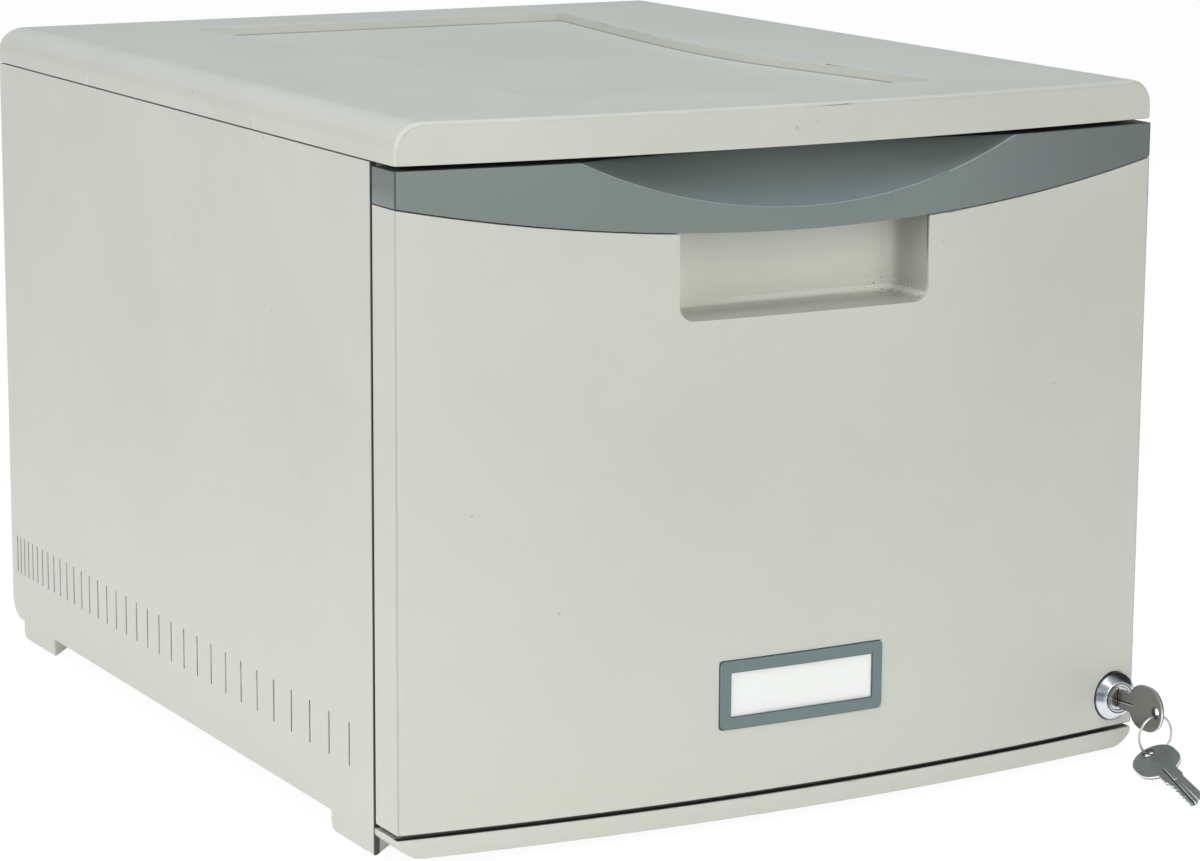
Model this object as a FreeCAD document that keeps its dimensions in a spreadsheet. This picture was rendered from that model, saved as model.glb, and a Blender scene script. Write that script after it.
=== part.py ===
import FreeCAD, Part
import math
import os
import re
import Sketcher
from FreeCAD import Placement, Rotation, Vector

# Desktop file drawer for letter-size hanging files.
# Frame: +X to the right of someone facing the drawer, -Y out of its front, +Z up.
# The origin is on the surface that the feet stand on, at the middle of the width and of the depth.

doc = FreeCAD.newDocument("file_drawer")
sheet = doc.addObject("Spreadsheet::Sheet", "Sizes")

# Driving dimensions, in millimetres unless the note says otherwise
SIZES = [
    ("width", 375, "overall width"),
    ("overall_depth", 464, "overall depth over the bowed front"),
    ("overall_height", 311, "overall height"),
    ("bow_rise", 14, "how far the front bulges past its corners"),
    ("wall", 3, "moulded wall"),
    ("overrun", 2, "how far a cutting shape runs past a face"),
    ("lid_depth", 17.6, "height of the lid's side"),
    ("lid_side_flat", 5.6, "straight part of the lid's side, below its rounding"),
    ("lid_rear_round", 8, "rounding of the lid's rear"),
    ("lid_edge_round", 2, "rounding of the lid's bowed top edge"),
    ("lid_seam", 0.5, "open seam under the lid's side"),
    ("tray_sink", 4.8, "depth of the tray in the lid"),
    ("tray_side_margin", 83, "lid beside the tray's rear"),
    ("tray_front_margin", 49.5, "lid rim in front of the tray"),
    ("tray_rear_margin", 50, "lid rim behind the tray"),
    ("boss_radius", 3.5, "screw boss"),
    ("boss_height", 4, "screw boss on the base"),
    ("panel_depth", 11, "side panel with its ribs"),
    ("panel_skin", 3.5, "side panel's outer skin"),
    ("rib", 3, "rib on a side panel"),
    ("base_edge", 8.5, "height of the side panel's lower edge"),
    ("rear_round", 11.5, "rounding of the side panel's rear lower corner"),
    ("foot_length", 42.5, "length of a foot"),
    ("foot_inset", 15.3, "rear foot from the rear face"),
    ("foot_round", 4.5, "rounding of a foot's rear corner"),
    ("foot_sole", 1.2, "flat width of a foot's sole"),
    ("foot_slope", 6, "rise of a foot's inner slope"),
    ("ledge_width", 12, "ledge that the base rests on"),
    ("bar_low", 33, "lower end of the relief bars"),
    ("bar_height", 19, "height of the relief bars"),
    ("bar_width", 1.5, "width of a relief bar"),
    ("bar_sink", 0.5, "depth of a relief bar"),
    ("bar_inset", 8, "first relief bar from the rear face"),
    ("bar_end_room", 24.4, "last relief bar from the side panel's front edge"),
    ("back_thickness", 3.5, "back panel"),
    ("back_low", 20, "height of the back panel's lower edge"),
    ("rear_rib", 8, "depth of the rib that the back panel is screwed to"),
    ("base_thickness", 3, "base panel"),
    ("base_flange", 22, "height of the base panel's rear flange"),
    ("lip_low", 3.8, "lower edge of the front lip"),
    ("lip_top", 12.3, "top of the front lip"),
    ("lip_end_length", 12, "length of the lip's rising ends"),
    ("lip_end_rise", 6, "rise of the lip's lower edge at its ends"),
    ("front_return", 21, "depth of the drawer front's sides"),
    ("closing_gap", 1.4, "gap between the drawer front and the side panels"),
    ("front_low", 14.3, "lower edge of the drawer front"),
    ("front_gap", 2, "gap between the drawer front and the lid"),
    ("band_end", 15.1, "height of the band's lower edge under the lid at its ends"),
    ("band_sag", 18.4, "how far the band's lower edge hangs at the middle"),
    ("joint_gap", 0.5, "line between the band and the front"),
    ("scoop_radius", 300, "radius of the scoop's lower edge"),
    ("scoop_fall", 23.9, "height of the scoop at the middle"),
    ("scoop_section", 32, "section radius of the scoop"),
    ("scoop_depth", 16, "depth of the scoop"),
    ("pocket_half_width", 62, "half width of the finger pocket"),
    ("pocket_drop", 19.2, "ceiling of the finger pocket, behind the band, below the front's top"),
    ("pocket_height", 50, "height of the finger pocket"),
    ("pocket_back_room", 0.1, "room between the pocket's back and the liner"),
    ("pocket_round", 7, "rounding of the pocket's lower corners"),
    ("pocket_corner", 8, "rounding of the pocket's rear upright corners"),
    ("pocket_wall", 2.4, "wall of the finger pocket"),
    ("pocket_mouth", 15, "room between the band and the pocket's ceiling"),
    ("label_half_width", 41, "half width of the label frame"),
    ("label_low", 44, "lower edge of the label frame"),
    ("label_height", 30, "height of the label frame"),
    ("label_rim", 5.3, "face of the label frame around its window"),
    ("label_proud", 0.8, "how far the label frame stands out"),
    ("label_seat", 1.2, "depth of the label frame's seat below the crown of the front"),
    ("label_round", 2.5, "rounding of the label frame's corners"),
    ("card_thickness", 0.4, "label card"),
    ("card_lap", 1.5, "how far the card reaches behind the frame"),
    ("card_play", 0.05, "clearance of the label card"),
    ("fit_gap", 0.2, "clearance of a part in its seat"),
    ("liner", 3, "front liner"),
    ("tub_gap", 4, "room between the liner and the tub, for the lock's cam"),
    ("tub_low", 18, "underside of the tub"),
    ("tub_drop", 21.4, "top of the tub below the lid's side"),
    ("tub_rear_room", 20, "room behind the tub"),
    ("tub_rim", 4, "rim around the tub's top"),
    ("pad_width", 10, "stand-off pad on the tub's front wall"),
    ("pad_inset", 23.8, "stand-off pad's middle from the tub's side"),
    ("pad_low", 60, "lower end of a stand-off pad"),
    ("band_screw_inset", 39.5, "band screw from the side"),
    ("band_screw_drop", 10, "band screw below the band's top"),
    ("rod_inset", 8.3, "file rail from the tub's side"),
    ("rod_radius", 2.5, "file rail"),
    ("rod_drop", 10, "file rail below the tub's top"),
    ("gauge", 1.2, "sheet steel of the runners"),
    ("runner_height", 60, "height of the runners' middle"),
    ("roller_top_room", 0.4, "room between the rear roller and the runner above it"),
    ("channel_width", 10, "flange of a runner"),
    ("runner_start", 6, "runner from the side panel's front edge"),
    ("runner_end", 14, "runner from the rear face"),
    ("roller_radius", 9.75, "roller"),
    ("roller_width", 7, "roller"),
    ("roller_drop", 6, "front roller below the runner's middle"),
    ("axle_radius", 2.5, "roller axle"),
    ("axle_head", 4, "radius of an axle's head"),
    ("axle_head_height", 0.5, "height of an axle's head"),
    ("running_gap", 0.05, "radial clearance of a turning part"),
    ("roll_gap", 0.1, "clearance between a roller and its track"),
    ("side_gap", 0.1, "clearance beside a turning part"),
    ("shoulder_radius", 3.5, "shoulder of an axle"),
    ("shoulder", 1, "length of the front axle's shoulder"),
    ("rear_shoulder", 1.3, "length of the rear axle's shoulder"),
    ("axle_inset", 9.6, "front axle from the runner's front end"),
    ("roller_inset", 10, "rear axle from the tub's rear"),
    ("roller_room", 4.2, "room behind the front roller"),
    ("stop_place", 41.5, "rear of the runner's stop behind the front axle"),
    ("stop_height", 3, "stop below the runner's upper flange"),
    ("roller_side_room", 1.3, "room between the rear axle's head and the runner"),
    ("runner_room", 1.3, "room beside the drawer rail's flange"),
    ("rail_room", 1.25, "room between the drawer rail's flange and the rear roller"),
    ("rail_depth", 16, "height of the drawer rail below its flange"),
    ("screw_radius", 1.75, "screw shank"),
    ("screw_head", 3.2, "radius of a screw's head"),
    ("screw_head_height", 1, "height of a screw's head"),
    ("screw_bite", 8, "how deep a screw goes past what it holds"),
    ("screw_gap", 0.1, "clearance of a screw in its hole"),
    ("post_radius", 4.5, "screw post of the front"),
    ("lock_side_room", 0.94, "lock's bezel from the right side"),
    ("lock_height", 28.8, "height of the lock's axis"),
    ("lock_seat", 0.3, "lock's seat in front of the front's corner line"),
    ("bezel_radius", 11.06, "lock's bezel"),
    ("bezel_rim_height", 3.2, "straight part of the bezel"),
    ("bezel_height", 7, "bezel from its seat to its face"),
    ("bezel_face_radius", 7.6, "bezel's flat face"),
    ("barrel_radius", 7.2, "lock's barrel"),
    ("plug_radius", 5.4, "plug"),
    ("plug_sink", 0.4, "plug's face below the bezel's face"),
    ("boss_end", 8, "rear end of the lock's boss from the corner line"),
    ("nut_height", 3.5, "lock nut"),
    ("nut_flats", 17.6, "lock nut over its flats"),
    ("tail_side", 5, "square tail of the plug"),
    ("barrel_past", 0.6, "barrel past the liner"),
    ("cam_play", 0.3, "room between the barrel and the cam"),
    ("cam_room", 0.4, "room around the cam in its keeper"),
    ("cam_thickness", 1.2, "cam"),
    ("cam_length", 20, "cam, from the axis to its tip"),
    ("cam_width", 8, "cam"),
    ("cam_screw_radius", 1.5, "screw in the plug's tail"),
    ("cam_screw_head", 3.4, "its head"),
    ("cam_screw_depth", 5, "how deep it goes"),
    ("key_thickness", 1.8, "key"),
    ("bow_half_length", 12.3, "key's bow along the key"),
    ("bow_half_height", 10.3, "key's bow across the key"),
    ("bow_reach", 20.2, "middle of the bow from the plug's face"),
    ("key_hole_radius", 2.4, "hole in the bow"),
    ("key_hole_place", 8.2, "hole from the middle of the bow"),
    ("neck_half_height", 4.4, "neck of the key"),
    ("neck_gap", 1, "neck in front of the plug's face"),
    ("blade_height", 7.4, "blade of the key"),
    ("blade_length", 23, "blade from the plug's face"),
    ("groove_width", 1.6, "groove along the blade"),
    ("groove_depth", 0.5, "groove along the blade"),
    ("notch_depth", 1.6, "deepest cut in the blade's edge"),
    ("notch_width", 3, "width of a cut in the blade's edge"),
    ("keyway_end", 0.4, "room past the blade's tip"),
    ("keyway_gap", 0.15, "clearance of the blade in the keyway"),
    ("ring_radius", 9, "key ring, to the middle of its wire"),
    ("wire_radius", 0.55, "wire of the key ring"),
    ("ring_play", 0.35, "play of the wire at the bottom of the hole"),
    ("ring_shift", 0.6, "ring's middle left of the lock's axis"),
]

# Angles in degrees
ANGLES = [
    ("spare_place_angle", 250, "where the spare key hangs on the ring"),
    ("spare_roll_angle", 27, "spare key tipped to its left"),
    ("spare_droop_angle", 8, "spare key's blade below level"),
    ("spare_turn_angle", 11.7, "spare key's blade turned to the left"),
]

for row, (alias, amount, note) in enumerate(SIZES + ANGLES, start=1):
    sheet.set("A%d" % row, note)
    sheet.set("B%d" % row, str(amount))
    sheet.setAlias("B%d" % row, alias)
doc.recompute()

ALIASES = {alias for alias, amount, note in SIZES + ANGLES}

# Places that many pieces share
FRONT = "(-overall_depth/2)"
REAR = "(overall_depth/2)"
CORNER = "(bow_rise-overall_depth/2)"
HALF = "(width/2)"
BOW_RADIUS = "((width*width/4+bow_rise*bow_rise)/(2*bow_rise))"
BOW_MIDDLE = "(%s+%s)" % (FRONT, BOW_RADIUS)
LID_LOW = "(overall_height-lid_depth)"
LID_ROUND = "(lid_depth-lid_side_flat)"
FRONT_TOP = "(%s-front_gap)" % LID_LOW
PANEL_FRONT = "(%s+front_return+closing_gap)" % CORNER
PANEL_INNER = "(%s-panel_depth)" % HALF
SKIN_INNER = "(%s-panel_skin)" % HALF
BACK_FACE = "(%s-back_thickness)" % REAR
LOCK_X = "(%s-lock_side_room-bezel_radius)" % HALF
RUNNER_FACE = "(%s-gauge)" % PANEL_INNER
CHANNEL_HEIGHT = "(2*roller_radius+roll_gap+roller_top_room)"
BASE_LOW = "(base_edge+rib)"
BASE_TOP = "(%s+base_thickness)" % BASE_LOW
LINER_FRONT = "(%s+front_return-liner)" % CORNER
LINER_REAR = "(%s+front_return)" % CORNER
CAM_FRONT = "(%s+barrel_past+cam_play)" % LINER_REAR
CAM_REAR = "(%s+cam_thickness)" % CAM_FRONT
TUB_FRONT = "(%s+tub_gap)" % LINER_REAR
TUB_REAR = "(%s-tub_rear_room)" % REAR
TUB_TOP = "(%s-tub_drop)" % LID_LOW
TUB_HALF = ("(%s-roller_side_room-axle_head_height-2*side_gap-roller_width-rear_shoulder-gauge)"
            % RUNNER_FACE)


def formula(words):
    """Point each size named in an expression at its cell in the sheet."""
    return re.sub(r"[a-z_]+", lambda found: "Sizes." + found.group(0)
                  if found.group(0) in ALIASES else found.group(0), words)


def number(words):
    """The present value of an expression."""
    return float(sheet.evalExpression(formula(words)))


def bind(thing, prop, words):
    thing.setExpression(prop, formula(words))


def place(thing, x="0", y="0", z="0"):
    """Bind where a thing stands."""
    for letter, words in zip("xyz", (x, y, z)):
        bind(thing, "Placement.Base." + letter, words)


def box(name, x, y, z):
    """A block between two expressions along each axis."""
    block = doc.addObject("Part::Box", name)
    for prop, (low, high) in zip(("Length", "Width", "Height"), (x, y, z)):
        bind(block, prop, "(%s)-(%s)" % (high, low))
    place(block, x[0], y[0], z[0])
    return block


TURNS = {
    "X": Rotation(Vector(0, 1, 0), 90),
    "Y": Rotation(Vector(1, 0, 0), -90),
    "Z": Rotation(),
}


def cylinder(name, axis, radius, x, y, z):
    """A cylinder along one axis, whose span there is a pair of expressions."""
    rod = doc.addObject("Part::Cylinder", name)
    rod.Placement = Placement(Vector(), TURNS[axis])
    span = {"X": x, "Y": y, "Z": z}[axis]
    bind(rod, "Radius", radius)
    bind(rod, "Height", "(%s)-(%s)" % (span[1], span[0]))
    start = [words[0] if isinstance(words, tuple) else words for words in (x, y, z)]
    place(rod, *start)
    return rod


def fuse(name, *pieces):
    whole = doc.addObject("Part::MultiFuse", name)
    whole.Shapes = list(pieces)
    whole.Refine = True
    return whole


def common(name, *pieces):
    shared = doc.addObject("Part::MultiCommon", name)
    shared.Shapes = list(pieces)
    shared.Refine = True
    return shared


def cut(name, base, *tools):
    """The base less its tools."""
    tool = tools[0] if len(tools) == 1 else fuse(name + "_tools", *tools)
    left = doc.addObject("Part::Cut", name)
    left.Base = base
    left.Tool = tool
    left.Refine = True
    return left


def group(name, *pieces):
    """Separate solids in one node."""
    several = doc.addObject("Part::Compound", name)
    several.Links = list(pieces)
    return several


def mirror(name, source):
    """The same piece on the other side of the cabinet."""
    image = doc.addObject("Part::Mirroring", name)
    image.Source = source
    image.Normal = Vector(1, 0, 0)
    return image


NODES = {}


def node(name, thing):
    """Give a finished sub-part the name of its file."""
    thing.Label = name
    NODES[name] = thing
    return thing


def origin_plane(body, role):
    return next(item for item in body.Origin.OriginFeatures if item.Role == role)


def outline(body, name, plane, corners, offset="0"):
    """A closed sketch on one of the body's own planes.

    A corner is a pair of expressions. With a third, the edge that leaves it is an arc of that
    radius, which bulges to the right of the way there.
    """
    sketch = body.newObject("Sketcher::SketchObject", name)
    sketch.AttachmentSupport = [(origin_plane(body, plane), "")]
    sketch.MapMode = "FlatFace"
    bind(sketch, "AttachmentOffset.Base.z", offset)
    spots = [Vector(number(corner[0]), number(corner[1]), 0) for corner in corners]
    count = len(corners)
    for index, corner in enumerate(corners):
        here, there = spots[index], spots[(index + 1) % count]
        if len(corner) == 2:
            sketch.addGeometry(Part.LineSegment(here, there), False)
            continue
        radius = number(corner[2])
        along = there - here
        inward = Vector(-along.y, along.x, 0).normalize()
        middle = (here + there) / 2 + inward * math.sqrt(max(radius ** 2 - (along.Length / 2) ** 2, 0))
        begin = math.atan2(here.y - middle.y, here.x - middle.x)
        end = math.atan2(there.y - middle.y, there.x - middle.x)
        circle = Part.Circle(middle, Vector(0, 0, 1), radius)
        sketch.addGeometry(Part.ArcOfCircle(circle, begin, end), False)
        sketch.addConstraint(Sketcher.Constraint("Radius", index, radius))
        sketch.setExpression("Constraints[%d]" % (sketch.ConstraintCount - 1), formula(corner[2]))
    for index, corner in enumerate(corners):
        sketch.addConstraint(Sketcher.Constraint("Coincident", index, 2, (index + 1) % count, 1))
        for kind, axis, words in (("DistanceX", -2, corner[0]), ("DistanceY", -1, corner[1])):
            amount = number(words)
            if words == "0":
                sketch.addConstraint(Sketcher.Constraint("PointOnObject", index, 1, axis))
                continue
            sketch.addConstraint(Sketcher.Constraint(kind, -1, 1, index, 1, amount))
            sketch.setExpression("Constraints[%d]" % (sketch.ConstraintCount - 1), formula(words))
    return sketch


def extrude(name, plane, corners, offset, length):
    """A body whose one pad runs along its plane's normal."""
    body = doc.addObject("PartDesign::Body", name)
    sketch = outline(body, name + "_outline", plane, corners, offset)
    pad = body.newObject("PartDesign::Pad", name + "_pad")
    pad.Profile = sketch
    bind(pad, "Length", length)
    return body


def revolve(name, corners):
    """A body turned about its own Y axis; each corner is a radius and a place along Y."""
    body = doc.addObject("PartDesign::Body", name)
    sketch = outline(body, name + "_outline", "XY_Plane", corners)
    turn = body.newObject("PartDesign::Revolution", name + "_turn")
    turn.Profile = sketch
    turn.ReferenceAxis = (sketch, ["V_Axis"])
    turn.Angle = 360
    return body


def bow_common(name, block, inset="0"):
    """The part of a block that lies behind the bowed front, or that far inside it."""
    curve = cylinder(name + "_bow", "Z", "%s-(%s)" % (BOW_RADIUS, inset),
                     "0", BOW_MIDDLE, ("-overrun", "overall_height+overrun"))
    return common(name, block, curve)


# Top lid: a moulded cap, open below, with a tray sunk in its top
def lid_form(name, inset):
    """The lid's outer form, or the hollow that lies a wall inside it."""
    side, top = "(%s-%s)" % (HALF, inset), "(overall_height-%s)" % inset
    back, curve = "(%s-%s)" % (REAR, inset), "(%s-%s)" % (LID_ROUND, inset)
    rear_curve = "(lid_rear_round-%s)" % inset
    floor = "%s-overrun" % LID_LOW if inset != "0" else LID_LOW
    across = extrude(name + "_across", "XZ_Plane", [
        ("-" + side, floor),
        (side, floor),
        (side, "%s-%s" % (top, curve), curve),
        ("%s-%s" % (side, curve), top),
        ("%s-%s" % (curve, side), top, curve),
        ("-" + side, "%s-%s" % (top, curve)),
    ], "-" + back, "overall_depth")
    along = extrude(name + "_along", "YZ_Plane", [
        (FRONT, floor),
        (back, floor),
        (back, "%s-%s" % (top, rear_curve), rear_curve),
        ("%s-%s" % (back, rear_curve), top),
        (FRONT, top),
    ], "-" + side, "2*" + side)
    return bow_common(name, common(name + "_profiles", across, along), inset)


# The tray narrows at its middle: shares of its length from the front, and of its half width
TRAY_SIDE_SHARES = [(0, 0.933), (0.206, 0.871), (0.378, 0.79), (0.617, 0.818), (1, 1)]


def tray_face(grow):
    """The tray's outline, grown by a wall."""
    reach = number("%s-tray_front_margin" % BOW_RADIUS) + grow
    middle = number(BOW_MIDDLE)
    half = number(HALF + "-tray_side_margin") + grow
    back = number("%s-tray_rear_margin" % REAR) + grow
    corner_x = half * TRAY_SIDE_SHARES[0][1]
    corner_y = middle - math.sqrt(reach ** 2 - corner_x ** 2)
    right = [Vector(half * across, corner_y + (back - corner_y) * along, 0)
             for along, across in TRAY_SIDE_SHARES]
    left = [Vector(-spot.x, spot.y, 0) for spot in right]
    edges = [Part.Arc(left[0], Vector(0, middle - reach, 0), right[0]).toShape()]
    for spots in (right, left[::-1]):
        curve = Part.BSplineCurve()
        curve.interpolate(spots)
        edges.append(curve.toShape())
    edges.append(Part.makeLine(right[-1], left[-1]))
    return Part.Face(Part.Wire(Part.__sortEdges__(edges)))


def tray_block(name, grow, low, high):
    block = doc.addObject("Part::Feature", name)
    block.Shape = tray_face(grow).extrude(Vector(0, 0, number("(%s)-(%s)" % (high, low))))
    block.Placement = Placement(Vector(0, 0, number(low)), Rotation())
    return block


lid_outer = lid_form("lid_outer", "0")
doc.recompute()
front_edge = next(index for index, edge in enumerate(lid_outer.Shape.Edges, start=1)
                  if edge.BoundBox.ZMin > number("overall_height-overrun/2")
                  and abs(edge.BoundBox.YMin - number(FRONT)) < number("bow_rise/2"))
lid_rounded = doc.addObject("Part::Fillet", "lid_rounded")
lid_rounded.Base = lid_outer
lid_rounded.Edges = [(front_edge, number("lid_edge_round"), number("lid_edge_round"))]
tray_under = tray_block("tray_under", number("wall"), "overall_height-tray_sink-wall",
                        "overall_height+overrun")
tray_cutter = tray_block("tray_cutter", 0, "overall_height-tray_sink", "overall_height+overrun")
lid_hollow = cut("lid_hollow", lid_form("lid_inner", "wall"), tray_under)

SCREW_X = "(%s-(panel_depth-panel_skin)/2)" % SKIN_INNER
LID_SCREW_SHARES = (0.1, 0.5, 0.9)
BASE_SCREW_SHARES = (0.12, 0.5, 0.88)
BACK_SCREW_SHARES = (0.08, 0.5, 0.92)


def shared(low, high, share):
    """A place at a share of the way between two expressions."""
    return "((%s)+((%s)-(%s))*%s)" % (low, high, low, share)


def lid_screw_spots():
    """Where the lid is screwed on, along both sides."""
    return [(sign + SCREW_X, shared(PANEL_FRONT, BACK_FACE, share))
            for sign in ("", "-") for share in LID_SCREW_SHARES]


lid_posts = common("lid_posts", fuse("lid_post_rods", *[
    cylinder("lid_post_%d" % index, "Z", "boss_radius", x, y, (LID_LOW, "overall_height"))
    for index, (x, y) in enumerate(lid_screw_spots())]), lid_outer)
lid_shell = cut("lid_shell", lid_rounded, lid_hollow, tray_cutter)
lid_bored = cut("lid_bored", fuse("lid_body", lid_shell, lid_posts), *[
    cylinder("lid_bore_%d" % index, "Z", "screw_radius+screw_gap", x, y,
             ("%s-overrun" % LID_LOW, "%s+screw_bite+screw_gap" % LID_LOW))
    for index, (x, y) in enumerate(lid_screw_spots())])
node("top_lid", lid_bored)

# Side panels: an outer skin with ribs on the inside, feet below, and a row of sunk bars outside
REAR_FOOT_BACK = "(%s-foot_inset)" % REAR
REAR_FOOT_FRONT = "(%s-foot_length)" % REAR_FOOT_BACK
FRONT_FOOT_BACK = "(%s+foot_length)" % PANEL_FRONT
panel_blank = extrude("panel_blank", "YZ_Plane", [
    (PANEL_FRONT, "0"),
    (FRONT_FOOT_BACK + "-foot_round", "0", "foot_round"),
    (FRONT_FOOT_BACK, "foot_round"),
    (FRONT_FOOT_BACK, "base_edge"),
    (REAR_FOOT_FRONT, "base_edge"),
    (REAR_FOOT_FRONT, "0"),
    (REAR_FOOT_BACK + "-foot_round", "0", "foot_round"),
    (REAR_FOOT_BACK, "foot_round"),
    (REAR_FOOT_BACK, "base_edge"),
    (REAR + "-rear_round", "base_edge", "rear_round"),
    (REAR, "base_edge+rear_round"),
    (REAR, LID_LOW),
    (PANEL_FRONT, LID_LOW),
], "-" + HALF, "panel_depth")
foot_slope = extrude("foot_slope_cutter", "XZ_Plane", [
    ("-" + HALF + "+foot_sole", "0"),
    ("-" + PANEL_INNER, "0"),
    ("-" + PANEL_INNER, "foot_slope"),
], "-" + REAR, "overall_depth")

RUNNER_LOW = "(runner_height-%s/2-gauge)" % CHANNEL_HEIGHT
RUNNER_TOP = "(runner_height+%s/2+gauge)" % CHANNEL_HEIGHT
BAY_REAR = "(%s-rear_rib)" % BACK_FACE
LID_RIB = "(%s-rib-lid_seam)" % LID_LOW
BAY_SHARES = (0, 0.33, 0.67, 1)


def panel_bays():
    """The hollows between the side panel's ribs."""
    rows = ((BASE_LOW, RUNNER_LOW + "-rib"), (RUNNER_TOP + "+rib", LID_RIB))
    hollows = []
    for row, (low, high) in enumerate(rows):
        for bay in range(len(BAY_SHARES) - 1):
            start = shared(PANEL_FRONT + "+rib", BAY_REAR, BAY_SHARES[bay])
            end = shared(PANEL_FRONT + "+rib", BAY_REAR, BAY_SHARES[bay + 1])
            if bay < len(BAY_SHARES) - 2:
                end += "-rib"
            hollows.append(box("bay_%d_%d" % (row, bay), ("-" + SKIN_INNER, "overrun-" + PANEL_INNER),
                               (start, end), (low, high)))
    return hollows


lock_notch = box("lock_notch", ("-" + SKIN_INNER, "overrun-" + PANEL_INNER),
                 (PANEL_FRONT + "-overrun", PANEL_FRONT + "+rib+overrun"),
                 ("lock_height-cam_length-cam_room", "lock_height+bezel_radius+wall"))
back_rebate = box("back_rebate", ("-" + SKIN_INNER, "overrun-" + PANEL_INNER),
                  (BACK_FACE, REAR + "+overrun"), ("-overrun", "overall_height"))
seam_cutter = box("seam_cutter", ("-" + HALF + "-overrun", "-" + SKIN_INNER),
                  (PANEL_FRONT + "-overrun", REAR + "+overrun"),
                  (LID_LOW + "-lid_seam", LID_LOW + "+overrun"))
# The bars stand closer together towards the rear: each step is this share of the first one longer
BAR_COUNT = 33
BAR_GROWTH_SHARE = 0.1087


def bar_place(index):
    """The middle of a relief bar, counted from the rear."""
    share = ((index + BAR_GROWTH_SHARE * index * (index - 1) / 2)
             / (BAR_COUNT - 1 + BAR_GROWTH_SHARE * (BAR_COUNT - 1) * (BAR_COUNT - 2) / 2))
    return shared(REAR + "-bar_inset", PANEL_FRONT + "+bar_end_room", "%.6f" % share)


bars = fuse("bars", *[
    box("bar_%d" % index, ("-%s-overrun" % HALF, "-%s+bar_sink" % HALF),
        (bar_place(index) + "-bar_width/2", bar_place(index) + "+bar_width/2"),
        ("bar_low", "bar_low+bar_height"))
    for index in range(BAR_COUNT)])
ledge = box("ledge", ("-" + PANEL_INNER, "ledge_width-" + PANEL_INNER),
            (FRONT_FOOT_BACK, BAY_REAR), ("base_edge", BASE_LOW))


def panel_holes():
    """Clearance holes for the screws of the lid, the base, the runner and the back panel."""
    holes = []
    for index, (x, y) in enumerate(lid_screw_spots()[len(LID_SCREW_SHARES):]):
        holes.append(cylinder("panel_lid_hole_%d" % index, "Z", "screw_radius+screw_gap", x, y,
                              (LID_RIB + "-overrun", LID_LOW + "+overrun")))
    for index, (x, y) in enumerate(base_screw_spots()[len(BASE_SCREW_SHARES):]):
        holes.append(cylinder("panel_base_hole_%d" % index, "Z", "screw_radius+screw_gap", x, y,
                              ("base_edge-overrun", BASE_LOW + "+overrun")))
    for index, (x, z) in enumerate(back_screw_spots()[len(BACK_SCREW_SHARES):]):
        holes.append(cylinder("panel_back_hole_%d" % index, "Y", "screw_radius+screw_gap", x,
                              (BACK_FACE + "-screw_bite+overrun/2", BACK_FACE + "+overrun"), z))
    for index, y in enumerate(runner_screw_spots()):
        holes.append(cylinder("panel_runner_hole_%d" % index, "X", "screw_radius+screw_gap",
                              ("-" + SKIN_INNER, "overrun-" + PANEL_INNER), y, "runner_height"))
    return holes


def base_screw_spots():
    return [(sign + "(%s-ledge_width/2)" % PANEL_INNER, shared(FRONT_FOOT_BACK, BAY_REAR, share))
            for sign in ("", "-") for share in BASE_SCREW_SHARES]


def back_screw_spots():
    return [(sign + SCREW_X, shared("back_low", LID_LOW, share))
            for sign in ("", "-") for share in BACK_SCREW_SHARES]


RUNNER_FRONT = "(%s+runner_start)" % PANEL_FRONT
RUNNER_REAR = "(%s-runner_end)" % REAR
RUNNER_SCREW_SHARES = (0.2, 0.55, 0.9)


def runner_screw_spots():
    return [shared(RUNNER_FRONT, RUNNER_REAR, share) for share in RUNNER_SCREW_SHARES]


panel_form = cut("panel_form", fuse("panel_with_ledge", panel_blank, ledge), foot_slope, lock_notch,
                 back_rebate, seam_cutter, *panel_bays())
left_panel = node("left_side_panel", cut("left_panel", panel_form, bars, *panel_holes()))
node("right_side_panel", mirror("right_panel", left_panel))

# Back panel: a flat plate in the side panels' rebates, with counterbored screw holes
back_blank = box("back_blank", ("fit_gap-" + SKIN_INNER, SKIN_INNER + "-fit_gap"), (BACK_FACE, REAR),
                 ("back_low", LID_LOW + "-lid_seam"))
back_holes = []
for index, (x, z) in enumerate(back_screw_spots()):
    back_holes.append(cylinder("back_hole_%d" % index, "Y", "screw_radius+screw_gap", x,
                               (BACK_FACE + "-overrun", REAR + "+overrun"), z))
    back_holes.append(cylinder("back_counterbore_%d" % index, "Y", "screw_head+fit_gap", x,
                               (REAR + "-screw_head_height-fit_gap", REAR + "+overrun"), z))
node("back_panel", cut("back_panel_drilled", back_blank, *back_holes))

# Base panel: a floor on the side panels' ledges, a rear flange, and a lower front plate with the lip
def screw(name, axis, x, y, z, way, length):
    """A screw whose head rests at the given place and whose shank runs along + or - the axis."""
    seat = {"X": x, "Y": y, "Z": z}[axis]
    if way == "+":
        head_span = (seat + "-screw_head_height", seat)
        shank_span = (seat + "-screw_head_height", "%s+(%s)" % (seat, length))
    else:
        head_span = (seat, seat + "+screw_head_height")
        shank_span = ("%s-(%s)" % (seat, length), seat + "+screw_head_height")
    head_place, shank_place = [x, y, z], [x, y, z]
    head_place["XYZ".index(axis)] = head_span
    shank_place["XYZ".index(axis)] = shank_span
    return fuse(name, cylinder(name + "_head", axis, "screw_head", *head_place),
                cylinder(name + "_shank", axis, "screw_radius", *shank_place))


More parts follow.
